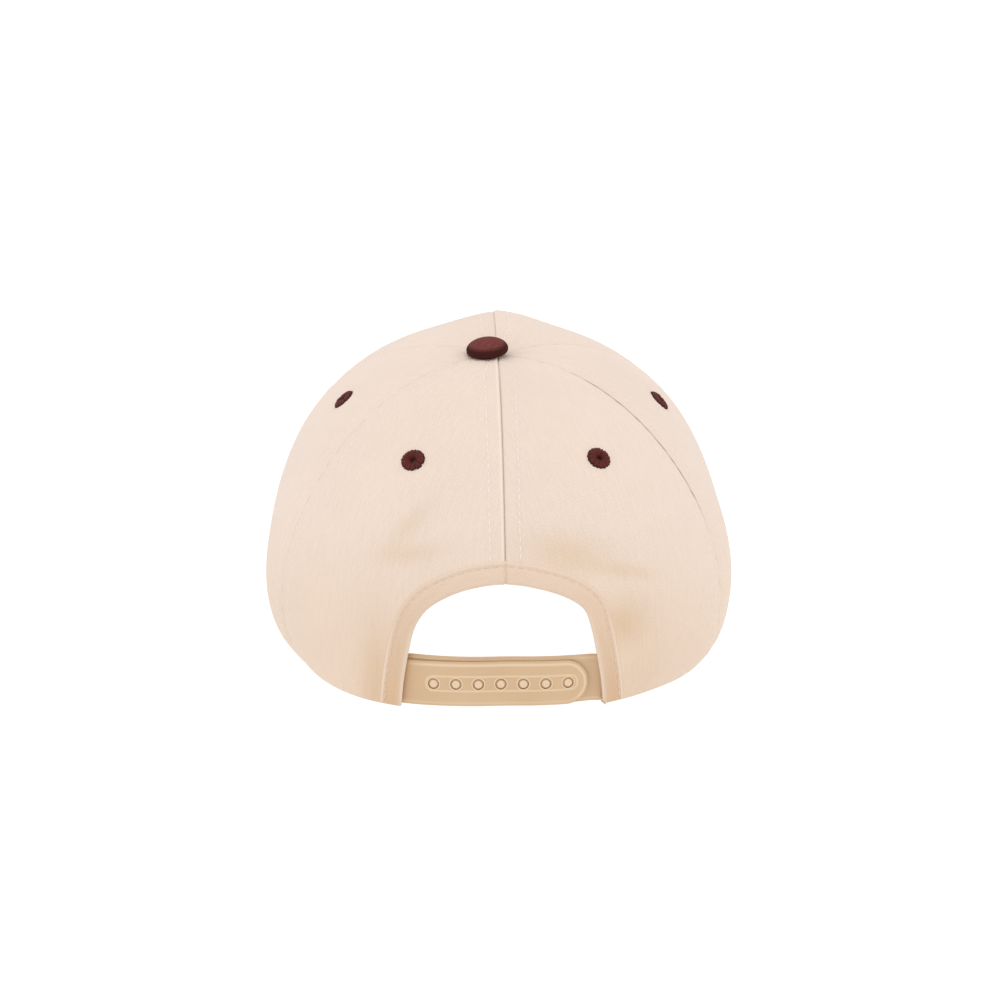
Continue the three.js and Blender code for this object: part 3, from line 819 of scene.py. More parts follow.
def laid_tube(name, columns, sides, lay):
    """A grid laid round a section: its last row comes back to the first, and its ends are filled."""
    piece = laid_grid(name, columns, sides, lay)
    in_edit_mode(piece, weld, fill_ends, face_out)
    return piece


arch_hem = laid_tube("arch_hem", HEM_COLUMNS, len(section), lay_hem)
print("the hem has", len(arch_hem.data.polygons), "faces")

# %% [markdown]
# ## One thread, copied
# Stitches, eyelet threads and snap collars are all round things that repeat. Each kind is turned once, as on
# a lathe: a circle is extruded up and scaled row by row. Then an Array modifier copies it, and the points of
# each copy are moved to their own places, so that a stitch can bend with the cloth it is sewn through.

# %% A lathe and copies
POINT = 0.001
STITCH = [(0, -1.35), (0.17, -1.25), (0.3, -0.75), (0.33, 0), (0.3, 0.75), (0.17, 1.25), (0, 1.35)]
STITCH_SIDES = 6


def turned(name, rows, sides):
    """Turns a piece round the Z axis from rows of radius and height, in millimetres."""
    radii = [max(radius, POINT) for radius, _ in rows]
    heights = [height for _, height in rows]
    deselect_all()
    bpy.ops.mesh.primitive_circle_add(vertices=sides, radius=radii[0] * MM, fill_type="NOTHING")
    piece = newest(name)
    bpy.ops.object.mode_set(mode="EDIT")
    bpy.ops.mesh.select_all(action="SELECT")
    bpy.ops.transform.translate(value=(0, 0, heights[0] * MM))
    for k in range(1, len(rows)):
        step = (heights[k] - heights[k - 1]) * MM
        bpy.ops.mesh.extrude_edges_move(TRANSFORM_OT_translate={"value": (0, 0, step)})
        scale = radii[k] / radii[k - 1]
        bpy.ops.transform.resize(value=(scale, scale, 1), center_override=(0, 0, 0))
    bpy.ops.object.mode_set(mode="OBJECT")
    in_edit_mode(piece, weld, face_out)
    return piece


def copies(name, pattern, places):
    """Copies a piece, one copy for each row of places."""
    select_only(pattern)
    bpy.ops.object.duplicate()
    piece = newest(name)
    apply_modifier(piece, "ARRAY", count=len(places), use_relative_offset=False, use_constant_offset=True)
    set_points(piece, to_frame(places.reshape(-1, 3)))
    return piece


stitch = turned("stitch", STITCH, STITCH_SIDES)
print("one stitch has", len(stitch.data.polygons), "faces")

# %% [markdown]
# ## A row of stitches
# A stitch follows the path of its row, and dips into the cloth at both ends. A sewing machine never places
# two of them quite alike, so each is moved and turned a little, always by the same seeded numbers.

# %% Sew along a path
BOW = 0.3  # how far the ends of a stitch dip into the cloth
UNEVEN = 0.06
LEAN = 0.05
LOOK_AHEAD = 0.3  # distance along a path over which its direction is taken
ROW_END = 0.31  # nearest that a stitch comes to either end of its row


def varied(amount, count):
    """A small seeded difference for each copy of a piece."""
    return rng.normal(0, amount, (count, 1))


def along_path(path, normals, run, side, up):
    """Places that follow a path: run along it, side across it and up off it."""
    lengths = run_of(path)
    at = lambda values, where: np.stack([np.interp(where, lengths, values[:, k]) for k in range(3)], -1)
    ahead = unit(at(path, run + LOOK_AHEAD) - at(path, run - LOOK_AHEAD) + 1e-9)
    normal = unit(at(normals, run))
    across = unit(np.cross(normal, ahead))
    return at(path, run) + across * side[..., None] + normal * up[..., None]


def sew(name, rows, pitch=STITCH_PITCH, lift=0.05):
    """Sews stitches along some rows, each a path of points and the normals of its cloth."""
    shape = points_of(stitch) / MM
    along, side, up = shape[:, 2], shape[:, 1], shape[:, 0]
    bow = -BOW * (along / along.max()) ** 4
    places, uv = [], []
    for path, normals in rows:
        length = run_of(path)[-1]
        count = max(1, int(length / pitch))
        middle = (np.arange(count)[:, None] + 0.5) * length / count + varied(UNEVEN, count)
        lean = varied(LEAN, count) * along
        run = np.clip(middle + along, ROW_END, length - ROW_END)
        places.append(along_path(path, normals, run, side + lean, up + bow + lift))
        shifted = side + 7 * rng.random((count, 1))  # each stitch shows another part of its finish
        uv.append(np.stack([shifted, run], -1))
    places, uv = np.concatenate(places), np.concatenate(uv)
    places[..., 2] = np.maximum(places[..., 2], 0)
    piece = copies(name, stitch, places)
    set_uv(piece, uv.reshape(-1, 2) * MM)
    print(name, len(places), "stitches")
    return piece


print("stitches dip", BOW, "mm at their ends")

# %% [markdown]
# ## Topstitching on the crown
# A row runs up each side of all six seams. The rows start at the rim, or at the hem of the arch on the back
# seam, and end under the button.

# %% Sew the seams and the arch
SEAM_ROW_POINTS = 220
ROW_START = 0.012  # rise of its first stitch
ABOVE_ARCH = 8
UNDER_BUTTON = 5
ARCH_ROW = 6.3
ARCH_ROW_LIFT = 0.2
SUNK = -0.14  # all rows but the back ones are pulled tighter, so that they sink into the cloth


def crown_row(seam, side):
    """The path of one topstitched row, and the normals of the cloth under it."""
    start = ROW_START
    if seam == 180:
        start = float(np.interp(ARCH[-1]["height"] + ABOVE_ARCH, height_at(180, RUN_RISES), RUN_RISES))
    end = float(halve(lambda rise: reach_at(seam, rise) > UNDER_BUTTON, 0.5, 1, ()))
    rises = np.linspace(start, end, SEAM_ROW_POINTS)
    away = side * STITCH_ROW * squeeze_at(seam, rises)
    bearings = seam + np.degrees(away / reach_at(seam, rises))
    return cloth_point(bearings, rises, 0.0, sewn_relief), crown_normal(bearings, rises)


def arch_row(away):
    spot = hem_path[2:-2] + hem_out[2:-2] * away
    height = np.maximum(spot[:, 1], 0.5)
    path = back_point(spot[:, 0], height, -ARCH_ROW_LIFT)
    return path, unit(path - back_point(spot[:, 0], height, 1.0))


back_rows = [crown_row(180, side) for side in (-1, 1)]
rows = [crown_row(seam, side) for seam in SEAM_RUNS for side in (-1, 1) if seam != 180]
crown_stitches = join("crown_stitches", sew("sunk", rows, lift=SUNK), sew("back", back_rows))
arch_stitches = sew("arch_stitches", [arch_row(ARCH_ROW)])

# %% [markdown]
# ## Eyelets
# An eyelet is a hole whose edge is bound with thread, so many threads lie side by side, out over the cloth
# and down into the hole. One thread is turned straight and bent over a section, and the copies are fanned
# round the hole. They vary in length and angle, which leaves the toothed edge of a worked eyelet. A dark
# ring under them, on both faces, carries them through the cloth.

# %% Wind the eyelets
OUTER_COUNT, INNER_COUNT = 30, 26
BENDS = 8
THREAD = [(0, 0)] + [(0.36, k / BENDS) for k in range(BENDS + 1)] + [(0, 1)]
OUTER_THREAD = [
    (1.15, -1.9), (1.1, -0.6), (1.25, 0.25), (1.75, 0.68),
    (2.6, 0.8), (3.5, 0.66), (4.15, 0.3), (4.45, -0.25),
]
INNER_THREAD = [(1.15, -1.7), (1.2, -2.6), (1.8, -3.0), (2.7, -2.95), (3.35, -2.6), (3.5, -2.1)]
EYELET_CORE = [
    (4.2, -0.1), (3.9, 0.25), (2.6, 0.62), (1.6, 0.4), (1.0, -0.5), (1.0, -2.2),
    (1.6, -2.75), (3.1, -2.75), (3.3, -2.2), (2.1, -1.9), (2.1, -0.2), (4.2, -0.1),
]
LONGEST = 1.06  # share of its length that a thread can have at most
PAST_END = 0.3  # how fast a longer thread spreads past the end of its section
VARIED = dict(outer=0.06, inner=0.05, place=0.16, slant=0.05, height=0.05)  # how unlike the threads are
FANNED = dict(true=2.6, least=0.55, most=1.5)  # threads are wider outside the radius true than inside
BEND_STEP = 0.1  # distance along a section over which its slope is taken


def set_upright(shape, centre, normal):
    """Turns a shape so that its Z axis follows a normal and its Y axis points as far up as it can."""
    across = unit(np.cross([0, 0, 1.0], normal))
    up = np.cross(normal, across)
    return centre + shape[..., :1] * across + shape[..., 1:2] * up + shape[..., 2:] * normal


def fan_threads(section, count, spread):
    """Threads bent over a section and fanned round an axis, in the eyelet's own axes."""
    shape = points_of(thread) / MM
    fine = spline_through(section, 60)
    lengths = run_of(fine)
    reach = 1 + varied(spread, count)
    where = shape[None, :, 2] * lengths[-1] * np.minimum(reach, LONGEST)
    at = lambda run, k: np.interp(run, lengths, fine[:, k])
    radius = at(where, 0) + np.maximum(0, where - lengths[-1]) * PAST_END
    slope = np.arctan2(*(at(where + BEND_STEP, k) - at(where - BEND_STEP, k) for k in (1, 0)))
    angle = (np.arange(count)[:, None] + varied(VARIED["place"], count)) * 2 * math.pi / count
    angle = angle + varied(VARIED["slant"], count) * shape[None, :, 2]
    radius = radius - shape[:, 0] * np.sin(slope)
    height = at(where, 1) + shape[:, 0] * np.cos(slope) + varied(VARIED["height"], count)
    side = shape[:, 1] * np.clip(radius / FANNED["true"], FANNED["least"], FANNED["most"])
    turn = angle + side / np.maximum(radius, 0.5)
    return np.stack([radius * np.cos(turn), radius * np.sin(turn), height], -1), where


def worked_eyelet(row):
    centre, normal = eyelet_place(row)
    outer, outer_run = fan_threads(OUTER_THREAD, OUTER_COUNT, VARIED["outer"])
    inner, inner_run = fan_threads(INNER_THREAD, INNER_COUNT, VARIED["inner"])
    local = np.concatenate([outer, inner])
    threads = copies("threads", thread, set_upright(local, centre, normal))
    run = np.concatenate([outer_run, inner_run])
    side = points_of(thread)[:, 1] / MM + 5 * rng.random((len(run), 1))  # shifted as on the stitches
    set_uv(threads, np.stack([side, run], -1).reshape(-1, 2) * MM)
    core = turned("core", EYELET_CORE, sides=32)
    set_points(core, to_frame(set_upright(points_of(core) / MM, centre, normal)))
    set_uv(core, np.zeros((len(core.data.vertices), 2)))
    return join(row["name"] + "_thread", threads, core)


thread = turned("thread", THREAD, sides=6)
eyelets = {row["name"]: worked_eyelet(row) for row in EYELETS}
print(len(eyelets), "eyelets of", OUTER_COUNT + INNER_COUNT, "threads")

# %% [markdown]
# ## The covered button
# A button is a thin metal dome with cloth drawn over it and gathered under its edge. It sits a little left of
# where the seams meet and leans with the cloth there. The dome is turned, then its edge is drawn into faint
# pleats. A plain disc inside the crown holds its shank.

# %% Turn the button
GAP = 0.3
SEAT_REACH = 3  # the button is set by the cloth at least this far from the axis
BUTTON = dict(radius=8, dome=4.1, edge=1.3, pleats=22)
BUTTON_SEAT = dict(across=-3.8, forward=-2.5, lean_across=0.11, lean_forward=0.06)  # slopes added
BUTTON_DOME = [(0, 0), (6.6, 0), (7.4, 0.08), (7.8, 0.35), (8.0, 0.8)]
BUTTON_BACK = [(0, -1.2), (5.6, -1.2), (6.0, -0.9), (6.0, -0.3), (5.6, 0), (1.6, 0), (1.6, 4.6), (0, 4.6)]
BACK_DEPTH = 3.4  # how far the disc lies below the cloth at the seams
UNDERSIDE = 0.7  # the cloth of the dome turns under below this height
DOME_STEPS = 14
BUTTON_SIDES = 96
PLEATS = dict(depth=0.006, start=5.2, full=8, above=1.4, fade=1.6)
STRETCHED, TURNED_UNDER = 0.04, 0.15  # how the cloth's own lengths grow up the dome, and under its edge


def crown_height(across, forward):
    bearing = np.degrees(np.arctan2(across, forward))
    reach = max(SEAT_REACH, math.hypot(across, forward))
    rise = halve(lambda r: reach_at(bearing, r) > reach, 0.5, 1, ())
    return float(cloth_point(np.array(bearing), np.array(rise), 0.0)[2])


def button_seat():
    """The point and normal of the plane that the button's underside lies in."""
    r, place = BUTTON["radius"], BUTTON_SEAT
    height = lambda across, forward: crown_height(place["across"] + across, place["forward"] + forward)
    slope_x = (height(r, 0) - height(-r, 0)) / (2 * r) + place["lean_across"]
    slope_y = (height(0, r) - height(0, -r)) / (2 * r) + place["lean_forward"]
    level = 0
    for turn in np.radians(np.arange(0, 360, 15)):
        across, forward = r * math.sin(turn), r * math.cos(turn)
        level = max(level, height(across, forward) - slope_x * across - slope_y * forward)
    seat = np.array([place["across"], place["forward"], level + GAP])
    return seat, unit(np.array([-slope_x, -slope_y, 1]))


def gathered(shape):
    """Draws the edge of the dome into pleats that fade out towards its top."""
    angle = np.arctan2(shape[:, 1], shape[:, 0])
    radius = np.hypot(shape[:, 0], shape[:, 1])
    uneven = 0.9 * np.sin(3 * angle)  # pleats lie closer together here and wider apart there
    wave = np.cos(BUTTON["pleats"] * angle + uneven) + 0.5 * np.cos(13 * angle + 1)
    edge = np.clip((radius - PLEATS["start"]) / (PLEATS["full"] - PLEATS["start"]), 0, 1) ** 2
    edge = edge * np.exp(-np.maximum(0, shape[:, 2] - PLEATS["above"]) / PLEATS["fade"])
    factor = 1 - PLEATS["depth"] * (1 + wave) * edge
    return np.stack([shape[:, 0] * factor, shape[:, 1] * factor, shape[:, 2]], -1)


arc = [
    (BUTTON["radius"] * math.cos(angle), BUTTON["edge"] + BUTTON["dome"] * math.sin(angle))
    for angle in np.linspace(0, math.pi / 2, DOME_STEPS + 1)[:-1]
]
dome_top = (0, BUTTON["edge"] + BUTTON["dome"])
seat, seat_normal = button_seat()
dome = turned("dome", BUTTON_DOME + arc + [dome_top], BUTTON_SIDES)
shape = gathered(points_of(dome) / MM)
set_points(dome, to_frame(set_upright(shape, seat, seat_normal)))
growth = 1 + STRETCHED * shape[:, 2:] + TURNED_UNDER * (shape[:, 2:] < UNDERSIDE)
set_uv(dome, shape[:, :2] * MM * growth)
back = turned("back", BUTTON_BACK, sides=40)
tip_top = crown_height(0, -SEAT_REACH)
set_points(back, to_frame(points_of(back) / MM + [0, 0, tip_top - BACK_DEPTH]))
set_uv(back, np.full((len(back.data.vertices), 2), BUTTON["radius"] * MM))  # so it gets the same painted shade as the button's edge
button = join("button_cloth", dome, back)
print("button stands", round(float(seat[2]), 1), "mm up")

# %% [markdown]
# ## The peak
# A peak is a board between two layers of cloth, sewn through in rows that run parallel to its edge. It leaves
# the crown under the rim and arches across, so its section is laid from the rim, over the rounded edge and
# back underneath, and that section runs from corner to corner.

# %% Lay the peak
PEAK_OUTLINE = [(76.5, 46), (83.5, 64), (84, 92), (74, 128), (45, 156), (0, 167)]  # across and forward
PEAK = dict(thickness=3.4, half_bearing=58, slope=0.03, widest=82.5, round=2.4)
PEAK_COLUMNS = 150
PEAK_EDGE = [0, 0.12, 0.35, 0.7, 1.15, 1.7, 2.3, 2.9]
PEAK_ROWS = 96
PEAK_STITCHING = dict(first=4.5, pitch=6.6, count=9)
SEWN = ((0.24, 0.55), (0.12, 1.6))  # depth and width of the groove that a row pulls, sharp and soft
LEAST_LEAN = 0.35  # near the corners the way in from the outline would otherwise grow too long
BLUNT = 0.98  # at 1 the rounded edge would close to a line
CALM_EDGE = 3  # within this distance of the edge the rows pull less
DRAWN_IN = 0.3  # how much closer together the lengths of the cloth lie at the rim than at the edge


def peak_root(bearing):
    bearing = np.asarray(bearing, float)
    reach = reach_at(bearing, 0) - CLOTH
    across, forward = reach * np.sin(np.radians(bearing)), reach * np.cos(np.radians(bearing))
    return np.stack([across, forward, height_at(bearing, 0) - GAP], -1)


def peak_edge(spots):
    root = peak_root(0)
    middle = root[2] + PEAK["slope"] * (spots[:, 1] - root[1])
    arch = (root[2] - PEAK["thickness"]) / PEAK["widest"] ** 2
    return np.concatenate([spots, (middle - arch * spots[:, 0] ** 2)[:, None]], 1)


outline = spline_through([(-a, f) for a, f in PEAK_OUTLINE] + PEAK_OUTLINE[-2::-1], PEAK_COLUMNS + 1)
edge = peak_edge(outline)
root = peak_root(np.linspace(-PEAK["half_bearing"], PEAK["half_bearing"], PEAK_COLUMNS + 1))
inward = (root - edge)[:, :2]
length = np.linalg.norm(inward, axis=1)
lean = np.abs(np.sum(unit(inward) * outward_of(outline), axis=1))
way_in = length * np.maximum(lean, LEAST_LEAN)
peak_run = run_of(outline)
near_edge = len(PEAK_EDGE)
turn = PEAK_ROWS + near_edge - 1  # the row of the section that lies on the outline
peak_distances = PEAK_STITCHING["first"] + PEAK_STITCHING["pitch"] * np.arange(PEAK_STITCHING["count"])


def peak_share(column, distance):
    """How far from the edge to the rim a distance in from the outline lies, from 0 to 1."""
    return distance / way_in[column]


def peak_surface(column, share, side):
    """The top face where side is 1 and the underside where it is -1."""
    distance = share * way_in[column]
    middle = edge[column] + (root[column] - edge[column]) * share[..., None]
    short = 1 - np.clip(distance / PEAK["round"], 0, 1)
    half_thickness = PEAK["thickness"] / 2 * np.sqrt(1 - BLUNT * short**2)
    groove = sum(depth * bell(distance - row, width) for row in peak_distances for depth, width in SEWN)
    out = half_thickness - groove * np.clip(distance / CALM_EDGE, 0, 1)
    middle[..., 2] = np.maximum(0, middle[..., 2] + side * out)
    return middle


def peak_rows(column, row):
    """The share of each row of the section: from the rim to the edge on top, and back below."""
    step = np.abs(row - turn)
    at_most_half = lambda distance: np.minimum(peak_share(column, distance), 0.5)
    close = at_most_half(np.interp(step, range(near_edge), PEAK_EDGE))
    last = at_most_half(PEAK_EDGE[-1])
    far = last + (1 - last) * np.clip(step - near_edge + 1, 0, PEAK_ROWS) / PEAK_ROWS
    return np.where(step < near_edge, close, far)


def lay_peak(column, row):
    row = row % (2 * turn + 1)
    side = np.where(row <= turn, 1, -1)
    share = peak_rows(column, row)
    places = peak_surface(column, share, side)
    along, across = peak_run[column] * (1 - DRAWN_IN * share), side * share * length[column]
    return places, np.stack([along, across], -1), {}


peak = laid_tube("peak_cloth", PEAK_COLUMNS, 2 * turn + 1, lay_peak)
print("peak", len(peak.data.polygons), "faces,", round(float(peak_run[-1])), "mm round its edge")

# %% [markdown]
# ## Rows of stitches on the peak
# The board would slide between its cloths if they weren't sewn through it. A row is seen on both faces, in a
# groove that its own thread pulls, so each row is sewn twice: along the top face and along the underside.

# %% Sew the peak
ROW_STOPS = dict(share=0.95, length=6)  # a row ends short of the rim, and of the corners
SHARE_STEP = 0.02  # a small step towards the rim, for the normal of the cloth


def peak_row(distance, side):
    columns = np.arange(2, PEAK_COLUMNS - 1)
    share = peak_share(columns, distance)
    keep = (share < ROW_STOPS["share"]) & (length[columns] > ROW_STOPS["length"])
    columns, share = columns[keep], share[keep]
    path = peak_surface(columns, share, side)
    further = peak_surface(columns, share + SHARE_STEP, side)
    normals = unit(np.cross(np.gradient(path, axis=0), further - path))
    return path, normals * np.sign(normals[:, 2:]) * side


rows = [peak_row(distance, side) for distance in peak_distances for side in (1, -1)]
peak_stitches = sew("peak_stitches", rows, pitch=3.6)

# %% [markdown]
# ## The band inside the rim
# A strip of soft cloth is folded and sewn round the inside of the rim, where it meets the head. At the back
# it passes inside the strap. A grid is laid on the form, one wall and a strap's thickness further in, and
# given its own thickness. Two rows of stitches run along it.

# %% Lay the sweatband
BAND = dict(thickness=1.5, height=30, above_rim=0.6, roll=0.4, end=155, ease_from=134, ease_to=146)
BAND_COLUMNS, BAND_ROWS = 300, 30
BAND_SEAMS = (2.2, 27.4)  # heights of its two rows of stitches
BAND_SEWN = dict(depth=0.22, width=0.8, pull=0.6)
BAND_WAVE = dict(height=0.06, along=0.9, up=0.21)
NEAR_RIM = 0.05  # the rise at which the band's normal is taken
BAND_RADIUS = 88
LOOSE_GAP = 0.75
STRAP = dict(thickness=1.3, height=16.6, bottom=0.3, radius=98, tongue_arc=46)


def band_point(bearing, up, depth):
    inside_strap = smooth_step(np.abs(bearing), BAND["ease_from"], BAND["ease_to"])
    outer = CLOTH + LOOSE_GAP + inside_strap * (STRAP["thickness"] + GAP)
    return wall_point(bearing, height_at(bearing, 0) + BAND["above_rim"] + up, outer + depth)


def lay_band(column, row):
    bearing = BAND["end"] * (2 * column / BAND_COLUMNS - 1)
    up = BAND["height"] * row / BAND_ROWS
    sewn = BAND_SEWN["depth"] * sum(bell(up - seam, BAND_SEWN["width"]) for seam in BAND_SEAMS)
    wave = BAND_WAVE["height"] * np.sin(bearing * BAND_WAVE["along"]) * np.sin(up * BAND_WAVE["up"])
    places = band_point(bearing, up, wave - sewn * BAND_SEWN["pull"])
    return places, np.stack([np.radians(bearing) * BAND_RADIUS, up], -1), {}


def band_row(up):
    bearing = np.linspace(-BAND["end"] + 1, BAND["end"] - 1, 400)
    path = band_point(bearing, up, BAND["thickness"])
    return path, -crown_normal(bearing, np.full_like(bearing, NEAR_RIM))


band = laid_grid("band_cloth", BAND_COLUMNS, BAND_ROWS, lay_band)
turn_out(band, (0, 1, 0))
thicken(band, BAND["thickness"], BAND["roll"])
band_stitches = sew("band_stitches", [band_row(up) for up in BAND_SEAMS])
print("band", len(band.data.polygons), "faces")

# %% [markdown]
# ## The snap strap
# Both halves of the strap are moulded flat and bent round the head when they are snapped shut. So each half
# is modelled flat, with its raised border, the fine rib round its snaps and its rounded tip. It is thickened,
# its holes are cut by a boolean, and only then are its points laid on the form.

# %% A flat strap with a rounded tip
STRAP_HEIGHTS = [0, 0.1, 0.25, 0.45, 0.7, 0.9, 1.1, 1.3, 1.5, 1.75, 2.1, 2.7, 3.3]
STRAP_MIDDLE = 34
STRAP_LENGTHS = 190
ROUNDING = 0.4


def strap_rows(height):
    edge_rows = np.array(STRAP_HEIGHTS)
    middle = np.linspace(edge_rows[-1], height - edge_rows[-1], STRAP_MIDDLE + 2)[1:-1]
    return np.concatenate([edge_rows, middle, height - edge_rows[::-1]])


def tip_reach(half, height):
    """How far the rounded tip falls short of its own end at each height."""
    middle, radius = half["height"] / 2, half["radius"]
    past = np.clip((np.abs(height - middle) - (middle - radius)) / radius, 0, 1)
    return radius * (1 - np.sqrt(1 - past**2))


def flat_strap(name, half, relief):
    heights, tip_arc = strap_rows(half["height"]), half["tip_arc"]
    back = np.array(STRAP_HEIGHTS)
    length = tip_arc + STRAP["tongue_arc"]
    back = np.concatenate([back, np.linspace(back[-1], length, STRAP_LENGTHS)[1:]])[::-1]

    def lay(column, row):
        height = heights[row]
        short = tip_reach(half, height)
        arc = tip_arc - short - back[column] * (length - short) / length
        inside = edge_distance(half, arc, height)
        rounded = ROUNDING - np.sqrt(ROUNDING**2 - np.clip(ROUNDING - inside, 0, ROUNDING) ** 2)
        places = np.stack([arc, height, relief(arc, height, inside) - rounded], -1)
        return places, np.stack([arc, height], -1), {}

    piece = laid_grid(name, len(back) - 1, len(heights) - 1, lay)
    set_points(piece, points_of(piece) - [0, AXIS_FORWARD * MM, 0])
    turn_out(piece, (0, 0, 1))
    return piece


def edge_distance(half, arc, height):
    """The distance in from the outline of a strap."""
    middle, radius = half["height"] / 2, half["radius"]
    up = np.maximum(0, np.abs(height - middle) - (middle - radius))
    along = np.maximum(0, arc - (half["tip_arc"] - radius))
    return np.maximum(0, np.where(along > 0, radius - np.hypot(along, up), middle - np.abs(height - middle)))


print(len(strap_rows(STRAP["height"])), "rows of points up a strap")

# %% [markdown]
# ## The half with the holes
# Its face has a raised border, a fine rib that loops round the snaps, and a small collar at each hole. The
# border and the rib are heights on the flat face. One boolean punches the holes, and a collar that has been
# turned once is copied to each of them.

# %% Mould the half with the holes
SNAPS = dict(count=7, first_arc=-26.6, pitch=8.2, height=8.4, hole=2.05)
HOLE_STRAP = dict(tip_arc=30.3, radius=8.3, height=STRAP["height"])
RIB_LOOP = dict(left=-29.4, right=26.0, low=5.8, high=11.2, corner=2.4, height=0.26, width=0.3)
BORDER = dict(height=0.3, faint=0.1, inset=1.25, width=0.42, from_arc=-44, to_arc=-24, low=1.5, high=4)
PLAIN_BORDER = 0.12
COLLAR = [
    (2.02, -0.2), (2.02, 0.08), (2.12, 0.2), (2.35, 0.22),
    (2.62, 0.1), (2.75, -0.1), (2.75, -0.2), (2.02, -0.2),
]
PUNCH = [(0, -4), (SNAPS["hole"], -4), (SNAPS["hole"], 4), (0, 4)]
FULL_HIGHLIGHT_HEIGHT = 0.22  # a part that stands this far off the strap's face gets the full painted highlight
snap_arcs = SNAPS["first_arc"] + SNAPS["pitch"] * np.arange(SNAPS["count"])


def loop_distance(arc, height):
    """The distance from the line of the rib round the snaps, a rectangle with round corners."""
    loop = RIB_LOOP
    half_length, half_height = (loop["right"] - loop["left"]) / 2, (loop["high"] - loop["low"]) / 2
    across = np.abs(arc - loop["left"] - half_length) - half_length + loop["corner"]
    up = np.abs(height - loop["low"] - half_height) - half_height + loop["corner"]
    outside = np.hypot(np.maximum(across, 0), np.maximum(up, 0)) + np.minimum(np.maximum(across, up), 0)
    return np.abs(outside - loop["corner"])


def border_line(inside):
    return bell(inside - BORDER["inset"], BORDER["width"])


def hole_strap_relief(arc, height, inside):
    """The border is faint along the lower edge and fades out towards the hem."""
    upper = smooth_step(height, BORDER["low"], BORDER["high"])
    border = BORDER["height"] * upper * smooth_step(arc, BORDER["from_arc"], BORDER["to_arc"])
    border = border + BORDER["faint"] * (1 - upper)
    rib = RIB_LOOP["height"] * bell(loop_distance(arc, height), RIB_LOOP["width"])
    return border * border_line(inside) + rib


def wrap(piece, bottom_at, depth_at):
    """Bends a flat piece of strap onto the form, and notes how far its points stand off its face, for a
    painted highlight.
    """
    arc, up, out = (points_of(piece) / MM).T
    note(piece, "raised", out / FULL_HIGHLIGHT_HEIGHT)
    bearing = 180 - np.degrees(arc / STRAP["radius"])
    set_points(piece, to_frame(wall_point(bearing, bottom_at(arc) + up, depth_at(arc) - out)))


def in_a_row(name, pattern, arcs, height):
    """Copies a turned piece flat along a strap."""
    shape = points_of(pattern) / MM
    spots = np.stack([arcs, np.full(len(arcs), height), np.zeros(len(arcs))], -1)
    piece = copies(name, pattern, spots[:, None, :] + shape[None])
    set_points(piece, points_of(piece) - [0, AXIS_FORWARD * MM, 0])
    return piece


OUTER_DEPTH = CLOTH + LOOSE_GAP
on_the_rim, outer_depth = (lambda arc: STRAP["bottom"]), (lambda arc: OUTER_DEPTH)
hole_strap = flat_strap("hole_strap_moulded", HOLE_STRAP, hole_strap_relief)
thicken(hole_strap, STRAP["thickness"], 0)
punch = turned("punch", PUNCH, sides=40)
punches = in_a_row("punches", punch, snap_arcs, SNAPS["height"])
apply_modifier(hole_strap, "BOOLEAN", operation="DIFFERENCE", object=punches, solver="EXACT")
collar = turned("collar", COLLAR, sides=36)
collars = in_a_row("collars", collar, snap_arcs, SNAPS["height"])
wrap(hole_strap, on_the_rim, outer_depth)
wrap(collars, on_the_rim, outer_depth)
hole_strap = join("hole_strap_moulded", hole_strap, collars)
print("holed half:", len(hole_strap.data.polygons), "faces")

# %% [markdown]
# ## The half with the studs
# It is a little taller, passes inside the other half and steps out again where that one ends. It is laid like
# the first and mirrored while it is flat. Each stud has a short neck and a mushroom cap with a dimple, and it
# stands in a hole.

# %% Mould the half with the studs
STUD_STRAP = dict(tip_arc=41.3, radius=6, height=17.9, end_lift=0.7, step_from=31, step_to=37)
INNER_DEPTH = OUTER_DEPTH + STRAP["thickness"] + GAP
STUD = [
    (0, -2.2), (1.97, -2.2), (1.97, -0.5), (1.85, -0.38), (1.45, -0.35), (1.3, -0.25), (1.36, -0.1),
    (1.42, 0.08), (1.34, 0.28), (1.12, 0.42), (0.8, 0.47), (0.48, 0.42), (0.28, 0.3), (0, 0.26),
]


def stud_strap_bottom(arc):
    """Its tip, on the left, rides up a little."""
    return STRAP["bottom"] + STUD_STRAP["end_lift"] * np.clip(-arc / STUD_STRAP["tip_arc"], 0, 1) ** 2


def stud_strap_depth(arc):
    step = smooth_step(arc, STUD_STRAP["step_from"], STUD_STRAP["step_to"])
    return INNER_DEPTH + (OUTER_DEPTH - INNER_DEPTH) * step


def plain_border(arc, height, inside):
    return PLAIN_BORDER * border_line(inside)


stud_strap = flat_strap("stud_strap_moulded", STUD_STRAP, plain_border)
set_points(stud_strap, points_of(stud_strap) * [-1, 1, 1])
stud_strap.data.flip_normals()
thicken(stud_strap, STRAP["thickness"], 0)
wrap(stud_strap, stud_strap_bottom, stud_strap_depth)
stud = turned("stud", STUD, sides=32)
studs = in_a_row("studs", stud, snap_arcs, SNAPS["height"])
wrap(studs, on_the_rim, outer_depth)
stud_strap = join("stud_strap_moulded", stud_strap, studs)
print("studded half:", len(stud_strap.data.polygons), "faces")

# %% [markdown]
# ## Mixing a finish
# A finish is a small network of nodes. Written as nodes it is hard to read, so a socket is wrapped in a class
# that knows sums: adding two wires adds the Math node for it. Any other node comes from one method.

